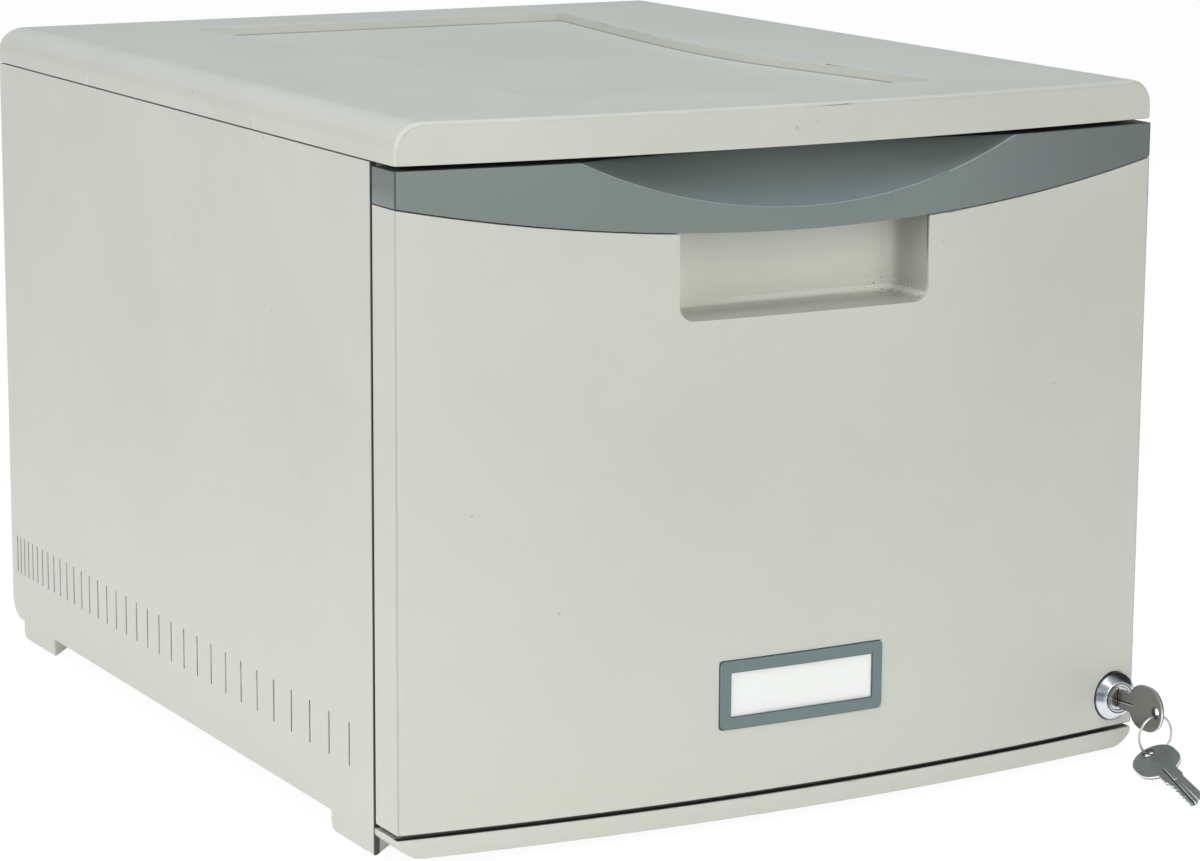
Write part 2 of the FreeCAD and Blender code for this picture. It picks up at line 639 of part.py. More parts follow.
LIP_REAR = "(%s-fit_gap)" % PANEL_FRONT
LIP_END_RADIUS = "((lip_end_length*lip_end_length+lip_end_rise*lip_end_rise)/(2*lip_end_rise))"
FLOOR_SIDE = "(%s-fit_gap)" % PANEL_INNER
FLOOR_FRONT = "(%s+rib)" % PANEL_FRONT
lip_block = extrude("lip_block", "XZ_Plane", [
    ("lip_end_length-" + HALF, "lip_low"),
    (HALF + "-lip_end_length", "lip_low", LIP_END_RADIUS),
    (HALF, "lip_low+lip_end_rise"),
    (HALF, "lip_top"),
    ("-" + HALF, "lip_top"),
    ("-" + HALF, "lip_low+lip_end_rise", LIP_END_RADIUS),
], "-" + LIP_REAR, "%s-%s" % (LIP_REAR, FRONT))
lip_hollow = bow_common("lip_hollow", box(
    "lip_hollow_block", ("wall-" + HALF, HALF + "-wall"), (FRONT, LIP_REAR + "+overrun"),
    ("-overrun", "lip_top-wall")), "wall")
lip_shell = cut("lip_shell", bow_common("lip_form", lip_block), lip_hollow)
base_tongue = box("base_tongue", ("-" + FLOOR_SIDE, FLOOR_SIDE),
                  (LINER_REAR, FLOOR_FRONT + "+boss_height"), ("lip_top-wall", "lip_top"))
base_floor = box("base_floor", ("-" + FLOOR_SIDE, FLOOR_SIDE), (FLOOR_FRONT, BACK_FACE),
                 (BASE_LOW, BASE_TOP))
base_rear = box("base_rear_flange", ("-" + FLOOR_SIDE, FLOOR_SIDE),
                (BACK_FACE + "-base_thickness", BACK_FACE), (BASE_LOW, BASE_LOW + "+base_flange"))
base_posts = [cylinder("base_post_%d" % index, "Z", "boss_radius", x, y,
                       (BASE_LOW, BASE_TOP + "+boss_height"))
              for index, (x, y) in enumerate(base_screw_spots())]
base_bores = [cylinder("base_bore_%d" % index, "Z", "screw_radius+screw_gap", x, y,
                       (BASE_LOW + "-overrun", "base_edge+screw_bite+screw_gap"))
              for index, (x, y) in enumerate(base_screw_spots())]
keeper_slot = box("keeper_slot", (LOCK_X + "-cam_length+cam_width/2", LOCK_X + "+cam_width*3/4"),
                  (CAM_FRONT + "-cam_room", CAM_REAR + "+cam_room"),
                  ("lip_top-wall-overrun", "lip_top+overrun"))
node("base_panel", cut("base_cut", fuse("base_body", lip_shell, base_tongue, base_floor, base_rear,
                                        *base_posts), keeper_slot, *base_bores))

# Cabinet screws
node("lid_screws", group("lid_screw_set", *[
    screw("lid_screw_%d" % index, "Z", x, y, LID_RIB, "+", "rib+lid_seam+screw_bite")
    for index, (x, y) in enumerate(lid_screw_spots())]))
node("base_screws", group("base_screw_set", *[
    screw("base_screw_%d" % index, "Z", x, y, "base_edge", "+", "screw_bite")
    for index, (x, y) in enumerate(base_screw_spots())]))
node("back_screws", group("back_screw_set", *[
    screw("back_screw_%d" % index, "Y", x, "(%s-screw_head_height-fit_gap)" % REAR, z, "-", "screw_bite")
    for index, (x, z) in enumerate(back_screw_spots())]))

# Runners: steel channels screwed to the side panels, with a stop and a roller near the front
FLANGE_TIP = "(%s-channel_width)" % PANEL_INNER
CHANNEL_FLOOR = "(runner_height-%s/2)" % CHANNEL_HEIGHT
CHANNEL_TOP = "(runner_height+%s/2)" % CHANNEL_HEIGHT
FRONT_AXLE_Y = "(%s+axle_inset)" % RUNNER_FRONT
FRONT_AXLE_Z = "(runner_height-roller_drop)"
REAR_AXLE_Y = "(%s-roller_inset)" % TUB_REAR
REAR_AXLE_Z = "(%s+roll_gap+roller_radius)" % CHANNEL_FLOOR
LOWER_START = "(%s+roller_radius+roller_room)" % FRONT_AXLE_Y
STOP_REAR = "(%s+stop_place)" % FRONT_AXLE_Y
runner_web = box("runner_web", (RUNNER_FACE, PANEL_INNER), (RUNNER_FRONT, RUNNER_REAR),
                 (RUNNER_LOW, RUNNER_TOP))
runner_upper = box("runner_upper", (FLANGE_TIP, PANEL_INNER), (RUNNER_FRONT, RUNNER_REAR),
                   (CHANNEL_TOP, RUNNER_TOP))
runner_lower = box("runner_lower", (FLANGE_TIP, PANEL_INNER), (LOWER_START, RUNNER_REAR),
                   (RUNNER_LOW, CHANNEL_FLOOR))
runner_stop = box("runner_stop", (FLANGE_TIP, PANEL_INNER), (STOP_REAR + "-gauge*2", STOP_REAR),
                  (CHANNEL_TOP + "-stop_height", RUNNER_TOP))
runner_holes = [cylinder("runner_hole_%d" % index, "X", "screw_radius+screw_gap",
                         (RUNNER_FACE + "-overrun", PANEL_INNER + "+overrun"), y, "runner_height")
                for index, y in enumerate(runner_screw_spots())]
front_axle_hole = cylinder("front_axle_hole", "X", "axle_radius+running_gap",
                           (RUNNER_FACE + "-overrun", PANEL_INNER + "+overrun"), FRONT_AXLE_Y, FRONT_AXLE_Z)
right_runner = node("right_runner", cut(
    "runner", fuse("runner_body", runner_web, runner_upper, runner_lower, runner_stop),
    front_axle_hole, *runner_holes))
node("left_runner", mirror("runner_mirror", right_runner))
right_runner_screws = group("right_runner_screw_set", *[
    screw("runner_screw_%d" % index, "X", RUNNER_FACE, y, "runner_height", "+", "screw_bite")
    for index, y in enumerate(runner_screw_spots())])
node("runner_screws", group("runner_screw_set", right_runner_screws,
                            mirror("left_runner_screw_set", right_runner_screws)))


def axle(name, low, high, shoulder, head, y, z):
    """A rivet for a roller: a shank from low to high, a shoulder span and a head span."""
    return fuse(name, cylinder(name + "_shank", "X", "axle_radius", (low, high), y, z),
                cylinder(name + "_shoulder", "X", "shoulder_radius", shoulder, y, z),
                cylinder(name + "_head", "X", "axle_head", head, y, z))


def roller(name, low, y, z):
    """A plastic wheel with chamfered rims and a sunk ring on each face."""
    high = "(%s+roller_width)" % low
    wheel = cylinder(name + "_wheel", "X", "roller_radius", (low, high), y, z)
    bore = cylinder(name + "_bore", "X", "axle_radius+running_gap",
                    (low + "-overrun", high + "+overrun"), y, z)
    faces = []
    for side, span in (("near", (low + "-overrun", low + "+wall/3")),
                       ("far", (high + "-wall/3", high + "+overrun"))):
        faces.append(cut(name + "_ring_" + side,
                         cylinder(name + "_sink_" + side, "X", "roller_radius-wall/2", span, y, z),
                         cylinder(name + "_hub_" + side, "X", "shoulder_radius+wall/3", span, y, z)))
    return cut(name, wheel, bore, *faces)


FRONT_ROLLER_LOW = "(%s-shoulder-side_gap-roller_width)" % RUNNER_FACE
RAIL_FACE = "(%s+gauge)" % TUB_HALF
REAR_ROLLER_LOW = "(%s+rear_shoulder+side_gap)" % RAIL_FACE
front_axle = node("front_right_axle", axle(
    "front_axle", FRONT_ROLLER_LOW + "-side_gap-axle_head_height", PANEL_INNER,
    (RUNNER_FACE + "-shoulder", RUNNER_FACE),
    (FRONT_ROLLER_LOW + "-side_gap-axle_head_height", FRONT_ROLLER_LOW + "-side_gap"),
    FRONT_AXLE_Y, FRONT_AXLE_Z))
node("front_left_axle", mirror("front_axle_mirror", front_axle))
front_roller = node("front_right_roller", roller("front_roller", FRONT_ROLLER_LOW, FRONT_AXLE_Y,
                                                 FRONT_AXLE_Z))
node("front_left_roller", mirror("front_roller_mirror", front_roller))
REAR_HEAD = "(%s+roller_width+side_gap)" % REAR_ROLLER_LOW
rear_axle = node("rear_right_axle", axle(
    "rear_axle", TUB_HALF, REAR_HEAD + "+axle_head_height",
    (RAIL_FACE, RAIL_FACE + "+rear_shoulder"), (REAR_HEAD, REAR_HEAD + "+axle_head_height"),
    REAR_AXLE_Y, REAR_AXLE_Z))
node("rear_left_axle", mirror("rear_axle_mirror", rear_axle))
rear_roller = node("rear_right_roller", roller("rear_roller", REAR_ROLLER_LOW, REAR_AXLE_Y, REAR_AXLE_Z))
node("rear_left_roller", mirror("rear_roller_mirror", rear_roller))

# Drawer rails: angles screwed to the tub, which run on the front rollers
RAIL_TOP = "(%s+roller_radius+roll_gap+gauge)" % FRONT_AXLE_Z
RAIL_LOW = "(%s-gauge-rail_depth)" % RAIL_TOP
RAIL_SCREW_SHARES = (0.08, 0.5, 0.92)
RAIL_SCREW_Z = "(%s-gauge-rail_depth/2)" % RAIL_TOP
rail_screw_spots = [shared(TUB_FRONT, REAR_AXLE_Y + "-roller_radius", share) for share in RAIL_SCREW_SHARES]
rail_web = box("rail_web", (TUB_HALF, RAIL_FACE), (TUB_FRONT, TUB_REAR), (RAIL_LOW, RAIL_TOP))
rail_flange = box("rail_flange", (TUB_HALF, RUNNER_FACE + "-runner_room"),
                  (TUB_FRONT, REAR_AXLE_Y + "-roller_radius-rail_room"), (RAIL_TOP + "-gauge", RAIL_TOP))
rail_holes = [cylinder("rail_hole_%d" % index, "X", "screw_radius+screw_gap",
                       (TUB_HALF + "-overrun", RAIL_FACE + "+overrun"), y, RAIL_SCREW_Z)
              for index, y in enumerate(rail_screw_spots)]
rear_axle_hole = cylinder("rear_axle_hole", "X", "axle_radius+running_gap",
                          (TUB_HALF + "-overrun", RAIL_FACE + "+overrun"), REAR_AXLE_Y, REAR_AXLE_Z)
right_rail = node("right_drawer_rail", cut("rail", fuse("rail_body", rail_web, rail_flange),
                                           rear_axle_hole, *rail_holes))
node("left_drawer_rail", mirror("rail_mirror", right_rail))
right_rail_screws = group("right_rail_screw_set", *[
    screw("rail_screw_%d" % index, "X", RAIL_FACE, y, RAIL_SCREW_Z, "-", "gauge+wall-fit_gap")
    for index, y in enumerate(rail_screw_spots)])
node("rail_screws", group("rail_screw_set", right_rail_screws,
                          mirror("left_rail_screw_set", right_rail_screws)))

# Drawer front and handle band: two bowed shells that meet along a sagging line
BAND_END = "(%s-band_end)" % FRONT_TOP
BAND_SAG_RADIUS = "((width*width/4+band_sag*band_sag)/(2*band_sag))"
LOCK_SEAT_Y = "(%s-lock_seat)" % CORNER
POCKET_BACK = "(%s-pocket_wall-pocket_back_room)" % LINER_FRONT
POCKET_TOP = "(%s-pocket_drop)" % FRONT_TOP
POCKET_LOW = "(%s-pocket_height)" % POCKET_TOP
FRONT_SCREW_SHARES = (0.22, 0.48, 0.74)
PAD_X = "(%s-pad_inset)" % TUB_HALF


def band_zone(name, drop):
    """Everything above the line under the band, lowered by a drop."""
    return extrude(name, "XZ_Plane", [
        ("-" + HALF, "%s-(%s)" % (BAND_END, drop), BAND_SAG_RADIUS),
        (HALF, "%s-(%s)" % (BAND_END, drop)),
        (HALF, FRONT_TOP + "+overrun"),
        ("-" + HALF, FRONT_TOP + "+overrun"),
    ], "-overrun-" + LINER_REAR, "%s-%s+2*overrun" % (LINER_REAR, FRONT))


def front_block(name, low, high, inset="0"):
    """The bowed block of the front, or the room a wall inside it, between two heights."""
    rear = LINER_REAR if inset == "0" else LINER_REAR + "+overrun"
    block = box(name + "_block", ("%s-%s" % (inset, HALF), "%s-%s" % (HALF, inset)), (FRONT, rear),
                (low, high))
    return bow_common(name, block, inset)


def front_screw_spots():
    return [(sign + PAD_X, shared("front_low", FRONT_TOP, share))
            for sign in ("", "-") for share in FRONT_SCREW_SHARES]


def band_screw_spots():
    return [(sign + "(%s-band_screw_inset)" % HALF, FRONT_TOP + "-band_screw_drop") for sign in ("", "-")]


def posts(name, spots, radius, form):
    """Screw posts from the shell's bowed wall back to the liner, kept inside a form."""
    rods = fuse(name + "_rods", *[
        cylinder("%s_%d" % (name, index), "Y", radius, x, (FRONT, LINER_FRONT), z)
        for index, (x, z) in enumerate(spots)])
    return common(name, rods, form)


def post_bores(name, spots):
    return [cylinder("%s_%d" % (name, index), "Y", "screw_radius+screw_gap", x,
                     (LINER_FRONT + "-screw_bite-screw_gap", LINER_FRONT + "+overrun"), z)
            for index, (x, z) in enumerate(spots)]


liner_room = box("liner_room", ("wall-" + HALF, HALF + "-wall"), (LINER_FRONT, LINER_REAR + "+overrun"),
                 ("front_low+wall", FRONT_TOP + "-wall"))
under_band = band_zone("under_band", "joint_gap")
front_outer = cut("front_outer", front_block("front_whole", "front_low", FRONT_TOP), under_band)
front_hollow = cut("front_hollow", front_block("front_room", "front_low+wall", FRONT_TOP, "wall"),
                   band_zone("under_front_top", "joint_gap+wall"))
front_shell = cut("front_shell", front_outer, front_hollow, liner_room)
pocket_shell = cut(
    "pocket_shell",
    bow_common("pocket_limit", box(
        "pocket_block", ("-pocket_half_width-pocket_wall", "pocket_half_width+pocket_wall"),
        (FRONT, POCKET_BACK + "+pocket_wall"), (POCKET_LOW + "-pocket_wall", POCKET_TOP + "+pocket_wall"))),
    common("pocket_under_band", under_band, box(
        "pocket_front_zone", ("-" + HALF, HALF), (FRONT + "-overrun", FRONT + "+pocket_mouth"),
        (POCKET_LOW, FRONT_TOP))))
pocket_front_view = extrude("pocket_front_view", "XZ_Plane", [
    ("pocket_round-pocket_half_width", POCKET_LOW),
    ("pocket_half_width-pocket_round", POCKET_LOW, "pocket_round"),
    ("pocket_half_width", POCKET_LOW + "+pocket_round"),
    ("pocket_half_width", POCKET_TOP),
    ("-pocket_half_width", POCKET_TOP),
    ("-pocket_half_width", POCKET_LOW + "+pocket_round", "pocket_round"),
], "-" + POCKET_BACK, "%s-%s+overrun" % (POCKET_BACK, FRONT))
pocket_side_view = extrude("pocket_side_view", "YZ_Plane", [
    (FRONT + "-overrun", POCKET_LOW),
    (POCKET_BACK + "-pocket_round", POCKET_LOW, "pocket_round"),
    (POCKET_BACK, POCKET_LOW + "+pocket_round"),
    (POCKET_BACK, POCKET_TOP),
    (FRONT + "-overrun", POCKET_TOP),
], "-pocket_half_width-overrun", "2*pocket_half_width+2*overrun")
pocket_plan_view = extrude("pocket_plan_view", "XY_Plane", [
    ("-pocket_half_width", FRONT + "-overrun"),
    ("pocket_half_width", FRONT + "-overrun"),
    ("pocket_half_width", POCKET_BACK + "-pocket_corner", "pocket_corner"),
    ("pocket_half_width-pocket_corner", POCKET_BACK),
    ("pocket_corner-pocket_half_width", POCKET_BACK, "pocket_corner"),
    ("-pocket_half_width", POCKET_BACK + "-pocket_corner"),
], POCKET_LOW + "-overrun", "pocket_height+2*overrun")
pocket_room = common("pocket_room", pocket_front_view, pocket_side_view, pocket_plan_view)
lock_boss = common("lock_boss", cylinder(
    "lock_boss_rod", "Y", "bezel_radius+wall", LOCK_X, (FRONT, CORNER + "+boss_end"), "lock_height"),
    front_outer)
lock_hole = cylinder("lock_hole", "Y", "barrel_radius+screw_gap", LOCK_X,
                     (FRONT, LINER_REAR), "lock_height")
lock_spot_face = cylinder("lock_spot_face", "Y", "bezel_radius+fit_gap", LOCK_X,
                          (FRONT + "-overrun", LOCK_SEAT_Y), "lock_height")
label_seat = box("label_seat_cutter",
                 ("-label_half_width-fit_gap", "label_half_width+fit_gap"),
                 (FRONT + "-overrun", FRONT + "+label_seat"),
                 ("label_low-fit_gap", "label_low+label_height+fit_gap"))
node("drawer_front", cut(
    "front_cut", fuse("front_body", front_shell, pocket_shell, lock_boss,
                      posts("front_posts", front_screw_spots(), "post_radius", front_outer)),
    pocket_room, lock_hole, lock_spot_face, label_seat, *post_bores("front_bore", front_screw_spots())))

# The band's scoop is part of a ring-shaped hollow with a round section
SCOOP_CHORD = "sqrt(scoop_depth*(2*scoop_section-scoop_depth))"


def scoop(name, grow):
    ring = doc.addObject("Part::Torus", name)
    ring.Placement = Placement(Vector(), TURNS["Y"])
    bind(ring, "Radius1", "scoop_radius-" + SCOOP_CHORD)
    bind(ring, "Radius2", "scoop_section+" + grow)
    place(ring, "0", FRONT + "-scoop_section+scoop_depth", FRONT_TOP + "-scoop_fall+scoop_radius")
    return ring


band_outer = common("band_outer", front_block("band_whole", "front_low", FRONT_TOP),
                    band_zone("band_form", "0"))
band_room = front_block("band_room", "front_low", FRONT_TOP + "-wall", "wall")
band_closed = common("band_closed", band_room, band_zone("band_floor", "-wall"))
band_open = common("band_open", band_room, box(
    "band_open_block", ("-pocket_half_width-pocket_wall-overrun", "pocket_half_width+pocket_wall+overrun"),
    (FRONT, LINER_REAR + "+overrun"), ("front_low", FRONT_TOP)))
band_hollow = cut("band_hollow", fuse("band_rooms", band_closed, band_open), scoop("scoop_wall", "wall"))
band_shell = cut("band_shell", band_outer, band_hollow, liner_room)
node("handle_band", cut(
    "band_cut", fuse("band_body", band_shell, posts("band_posts", band_screw_spots(), "boss_radius",
                                                    band_outer)),
    scoop("scoop_cutter", "0"), *post_bores("band_bore", band_screw_spots())))

# Label frame and card
label_front = cylinder("label_bow", "Z", BOW_RADIUS + "+label_proud", "0", BOW_MIDDLE,
                       ("-overrun", "overall_height"))
label_blank = extrude("label_blank", "XZ_Plane", [
    ("label_round-label_half_width", "label_low"),
    ("label_half_width-label_round", "label_low", "label_round"),
    ("label_half_width", "label_low+label_round"),
    ("label_half_width", "label_low+label_height-label_round", "label_round"),
    ("label_half_width-label_round", "label_low+label_height"),
    ("label_round-label_half_width", "label_low+label_height", "label_round"),
    ("-label_half_width", "label_low+label_height-label_round"),
    ("-label_half_width", "label_low+label_round", "label_round"),
], "-%s-label_seat" % FRONT, "label_seat+label_proud")
window = box("window", ("label_rim-label_half_width", "label_half_width-label_rim"),
             (FRONT + "-label_proud-overrun", FRONT + "+label_seat+overrun"),
             ("label_low+label_rim", "label_low+label_height-label_rim"))
CARD_FRONT = "(%s+label_seat-card_thickness-card_play)" % FRONT


def card_block(name, grow, rear):
    """The card, or its rebate in the frame."""
    reach = "(label_half_width-label_rim+card_lap+%s)" % grow
    return box(name, ("-" + reach, reach), (CARD_FRONT + "-" + grow, rear),
               ("label_low+label_rim-card_lap-" + grow,
                "label_low+label_height-label_rim+card_lap+" + grow))


node("label_frame", cut("frame_cut", common("frame_form", label_blank, label_front), window,
                        card_block("card_rebate", "card_play", FRONT + "+label_seat+overrun")))
node("label_card", card_block("card", "0", CARD_FRONT + "+card_thickness"))

# Front liner and tub
ROD_X = "(%s-rod_inset)" % TUB_HALF
ROD_Z = "(%s-rod_drop)" % TUB_TOP
liner_side = "(%s-wall-fit_gap)" % HALF
liner_plate = box("liner_plate", ("-" + liner_side, liner_side), (LINER_FRONT, LINER_REAR),
                  ("front_low+wall+fit_gap", FRONT_TOP + "-wall-fit_gap"))
liner_lock_hole = cylinder("liner_lock_hole", "Y", "barrel_radius+screw_gap+fit_gap", LOCK_X,
                           (LINER_FRONT + "-overrun", LINER_REAR + "+overrun"), "lock_height")
liner_bores = [cylinder("liner_bore_%d" % index, "Y", "screw_radius+screw_gap", x,
                        (LINER_FRONT + "-overrun", LINER_REAR + "+overrun"), z)
               for index, (x, z) in enumerate(front_screw_spots() + band_screw_spots())]
node("front_liner", cut("liner_cut", liner_plate, liner_lock_hole, *liner_bores))

tub_blank = box("tub_blank", ("-" + TUB_HALF, TUB_HALF), (TUB_FRONT, TUB_REAR), ("tub_low", TUB_TOP))
tub_rim = box("tub_rim_plate", ("-%s-tub_rim" % TUB_HALF, TUB_HALF + "+tub_rim"),
              (TUB_FRONT + "-tub_gap+fit_gap", TUB_REAR + "+tub_rim"), (TUB_TOP + "-wall", TUB_TOP))
tub_room = box("tub_room", ("wall-" + TUB_HALF, TUB_HALF + "-wall"),
               (TUB_FRONT + "+wall", TUB_REAR + "-wall"), ("tub_low+wall", TUB_TOP + "+overrun"))
pads = [box("pad_%s" % side, (middle + "-pad_width/2", middle + "+pad_width/2"), (LINER_REAR, TUB_FRONT),
            ("pad_low", TUB_TOP + "-wall"))
        for side, middle in (("right", PAD_X), ("left", "-" + PAD_X))]
rod_holes = [cylinder("rod_hole_%s" % side, "Y", "rod_radius+running_gap", x,
                      (TUB_FRONT + "-overrun", TUB_REAR + "+overrun"), ROD_Z)
             for side, x in (("right", ROD_X), ("left", "-" + ROD_X))]
tub_bores = [cylinder("tub_bore_%d" % index, "Y", "screw_radius+screw_gap", x,
                      (LINER_REAR + "-overrun", TUB_FRONT + "+wall+overrun"), z)
             for index, (x, z) in enumerate(front_screw_spots())]
for index, y in enumerate(rail_screw_spots):
    for side, span in (("right", (TUB_HALF + "-wall-overrun", TUB_HALF + "+overrun")),
                       ("left", ("-%s-overrun" % TUB_HALF, "wall+overrun-" + TUB_HALF))):
        tub_bores.append(cylinder("tub_rail_bore_%s_%d" % (side, index), "X", "screw_radius+screw_gap",
                                  span, y, RAIL_SCREW_Z))
node("drawer_tub", cut("tub_cut", fuse("tub_body", tub_blank, tub_rim, *pads), tub_room,
                       *(rod_holes + tub_bores)))
right_rod = node("right_file_rail", cylinder("right_rod", "Y", "rod_radius", ROD_X,
                                             (TUB_FRONT, TUB_REAR), ROD_Z))
node("left_file_rail", mirror("rod_mirror", right_rod))
node("front_screws", group("front_screw_set", *[
    screw("front_screw_%d" % index, "Y", x, "(%s+wall)" % TUB_FRONT, z, "-",
          "wall+tub_gap+liner+screw_bite")
    for index, (x, z) in enumerate(front_screw_spots())]))
node("band_screws", group("band_screw_set", *[
    screw("band_screw_%d" % index, "Y", x, LINER_REAR, z, "-", "liner+screw_bite")
    for index, (x, z) in enumerate(band_screw_spots())]))

# Lock: a turned housing held by a nut, a plug, and a cam on the plug's square tail
BARREL_LENGTH = "(%s+barrel_past-%s)" % (LINER_REAR, LOCK_SEAT_Y)
PLUG_FACE = "(%s-bezel_height+plug_sink)" % LOCK_SEAT_Y
housing = revolve("housing", [
    ("plug_radius+running_gap", "-bezel_height"),
    ("bezel_face_radius", "-bezel_height"),
    ("bezel_radius", "-bezel_rim_height"),
    ("bezel_radius", "0"),
    ("barrel_radius", "0"),
    ("barrel_radius", BARREL_LENGTH),
    ("plug_radius+running_gap", BARREL_LENGTH),
])
place(housing, LOCK_X, LOCK_SEAT_Y, "lock_height")
node("lock_housing", housing)
nut_blank = extrude("nut_blank", "XZ_Plane", [
    (LOCK_X, "lock_height-nut_flats/sqrt(3)"),
    (LOCK_X + "+nut_flats/2", "lock_height-nut_flats/(2*sqrt(3))"),
    (LOCK_X + "+nut_flats/2", "lock_height+nut_flats/(2*sqrt(3))"),
    (LOCK_X, "lock_height+nut_flats/sqrt(3)"),
    (LOCK_X + "-nut_flats/2", "lock_height+nut_flats/(2*sqrt(3))"),
    (LOCK_X + "-nut_flats/2", "lock_height-nut_flats/(2*sqrt(3))"),
], "-%s-boss_end-nut_height" % CORNER, "nut_height")
nut_bore = cylinder("nut_bore", "Y", "barrel_radius+screw_gap", LOCK_X, (CORNER, LINER_REAR), "lock_height")
node("lock_nut", cut("nut_cut", nut_blank, nut_bore))


def lock_block(name, half_width, half_height, y):
    """A block about the lock's axis."""
    return box(name, ("%s-(%s)" % (LOCK_X, half_width), "%s+(%s)" % (LOCK_X, half_width)), y,
               ("lock_height-(%s)" % half_height, "lock_height+(%s)" % half_height))


plug_rod = cylinder("plug_rod", "Y", "plug_radius", LOCK_X, (PLUG_FACE, CAM_FRONT + "-cam_play"),
                    "lock_height")
plug_tail = lock_block("plug_tail", "tail_side/2", "tail_side/2",
                       (PLUG_FACE + "+blade_length", CAM_REAR + "-screw_gap"))
keyway = lock_block("keyway", "key_thickness/2+keyway_gap", "blade_height/2+keyway_gap",
                    (PLUG_FACE + "-overrun", PLUG_FACE + "+blade_length+keyway_end"))
plug_bore = cylinder("plug_bore", "Y", "cam_screw_radius+screw_gap", LOCK_X,
                     (CAM_REAR + "-cam_screw_depth-screw_gap", CAM_REAR + "+overrun"), "lock_height")
node("lock_plug", cut("plug_cut", fuse("plug_body", plug_rod, plug_tail), keyway, plug_bore))
cam_arm = box("cam_arm", (LOCK_X + "-cam_length", LOCK_X), (CAM_FRONT, CAM_REAR),
              ("lock_height-cam_width/2", "lock_height+cam_width/2"))
cam_hub = cylinder("cam_hub", "Y", "cam_width*11/16", LOCK_X, (CAM_FRONT, CAM_REAR), "lock_height")
cam_eye = lock_block("cam_eye", "tail_side/2+screw_gap", "tail_side/2+screw_gap",
                     (CAM_FRONT + "-overrun", CAM_REAR + "+overrun"))
node("lock_cam", cut("cam_cut", fuse("cam_body", cam_arm, cam_hub), cam_eye))
node("cam_screw", fuse("cam_screw_body", cylinder(
    "cam_screw_disc", "Y", "cam_screw_head", LOCK_X, (CAM_REAR, CAM_REAR + "+screw_head_height"),
    "lock_height"), cylinder(
    "cam_screw_shank", "Y", "cam_screw_radius", LOCK_X,
    (CAM_REAR + "-cam_screw_depth", CAM_REAR + "+screw_head_height"), "lock_height")))

# Keys: stamped blanks, modelled with the blade along +Y from the plug's face at the local origin
NOTCH_SHARES = [(0.2, 0.6), (0.36, 1), (0.52, 0.4), (0.68, 0.85), (0.84, 0.5)]
BOW_CENTRE = "(bow_half_length-bow_half_height)"
NECK_MEET = ("(%s-bow_reach+sqrt(bow_half_height*bow_half_height-neck_half_height*neck_half_height))"
             % BOW_CENTRE)


def key_blank(name):
    """A key: an oval bow with a hole, a short neck, and a grooved blade with cuts along one edge."""
    edge = "(blade_height/2)"
    corners = [("-neck_gap", "-neck_half_height"), ("-neck_gap", "-" + edge)]
    for along, deep in NOTCH_SHARES:
        spot = "blade_length*%s" % along
        corners.append((spot + "-notch_width/2", "-" + edge))
        corners.append((spot, "notch_depth*%s-%s" % (deep, edge)))
        corners.append((spot + "+notch_width/2", "-" + edge))
    corners += [
        ("blade_length-notch_width/4", "-" + edge),
        ("blade_length", "notch_width/2-" + edge),
        ("blade_length", edge + "-notch_width/2"),
        ("blade_length-notch_width/2", edge),
        ("-neck_gap", edge),
        ("-neck_gap", "neck_half_height"),
        (NECK_MEET, "neck_half_height", "bow_half_height"),
        (BOW_CENTRE + "-bow_reach", "bow_half_height"),
        ("-bow_reach-" + BOW_CENTRE, "bow_half_height", "bow_half_height"),
        ("-bow_reach-bow_half_length", "0", "bow_half_height"),
        ("-bow_reach-" + BOW_CENTRE, "-bow_half_height"),
        (BOW_CENTRE + "-bow_reach", "-bow_half_height", "bow_half_height"),
        (NECK_MEET, "-neck_half_height"),
    ]
    body = extrude(name, "YZ_Plane", corners, "-key_thickness/2", "key_thickness")
    for side, near, far in (("left", "-key_thickness/2-overrun", "groove_depth-key_thickness/2"),
                            ("right", "key_thickness/2-groove_depth", "key_thickness/2+overrun")):
        groove = outline(body, "%s_groove_%s" % (name, side), "XZ_Plane", [
            (near, "-groove_width/2"), (far, "-groove_width/2"),
            (far, "groove_width/2"), (near, "groove_width/2")])
        channel = body.newObject("PartDesign::Pocket", "%s_channel_%s" % (name, side))
        channel.Profile = groove
        bind(channel, "Length", "blade_length+overrun")
    ring_hole = body.newObject("Sketcher::SketchObject", name + "_hole")
    ring_hole.AttachmentSupport = [(origin_plane(body, "YZ_Plane"), "")]
    ring_hole.MapMode = "FlatFace"
    bind(ring_hole, "AttachmentOffset.Base.z", "key_thickness")
    spot = Vector(-number("bow_reach+key_hole_place"), 0, 0)
    ring_hole.addGeometry(Part.Circle(spot, Vector(0, 0, 1), number("key_hole_radius")), False)
    ring_hole.addConstraint(Sketcher.Constraint("Radius", 0, number("key_hole_radius")))
    ring_hole.setExpression("Constraints[0]", formula("key_hole_radius"))
    ring_hole.addConstraint(Sketcher.Constraint("PointOnObject", 0, 3, -1))
    ring_hole.addConstraint(Sketcher.Constraint("DistanceX", -1, 1, 0, 3, spot.x))
    ring_hole.setExpression("Constraints[2]", formula("-bow_reach-key_hole_place"))
    punch = body.newObject("PartDesign::Pocket", name + "_punch")
    punch.Profile = ring_hole
    bind(punch, "Length", "2*key_thickness")
    return body


key = key_blank("key_body")
place(key, LOCK_X, PLUG_FACE, "lock_height")
node("key", key)
HOLE_Y = "(%s-bow_reach-key_hole_place)" % PLUG_FACE
RING_X = "(%s-ring_shift)" % LOCK_X
RING_Z = "(lock_height-key_hole_radius+wire_radius+ring_play-ring_radius)"
ring = doc.addObject("Part::Torus", "ring_wire")
ring.Placement = Placement(Vector(), TURNS["Y"])
bind(ring, "Radius1", "ring_radius")
bind(ring, "Radius2", "wire_radius")
place(ring, RING_X, HOLE_Y, RING_Z)
node("key_ring", ring)

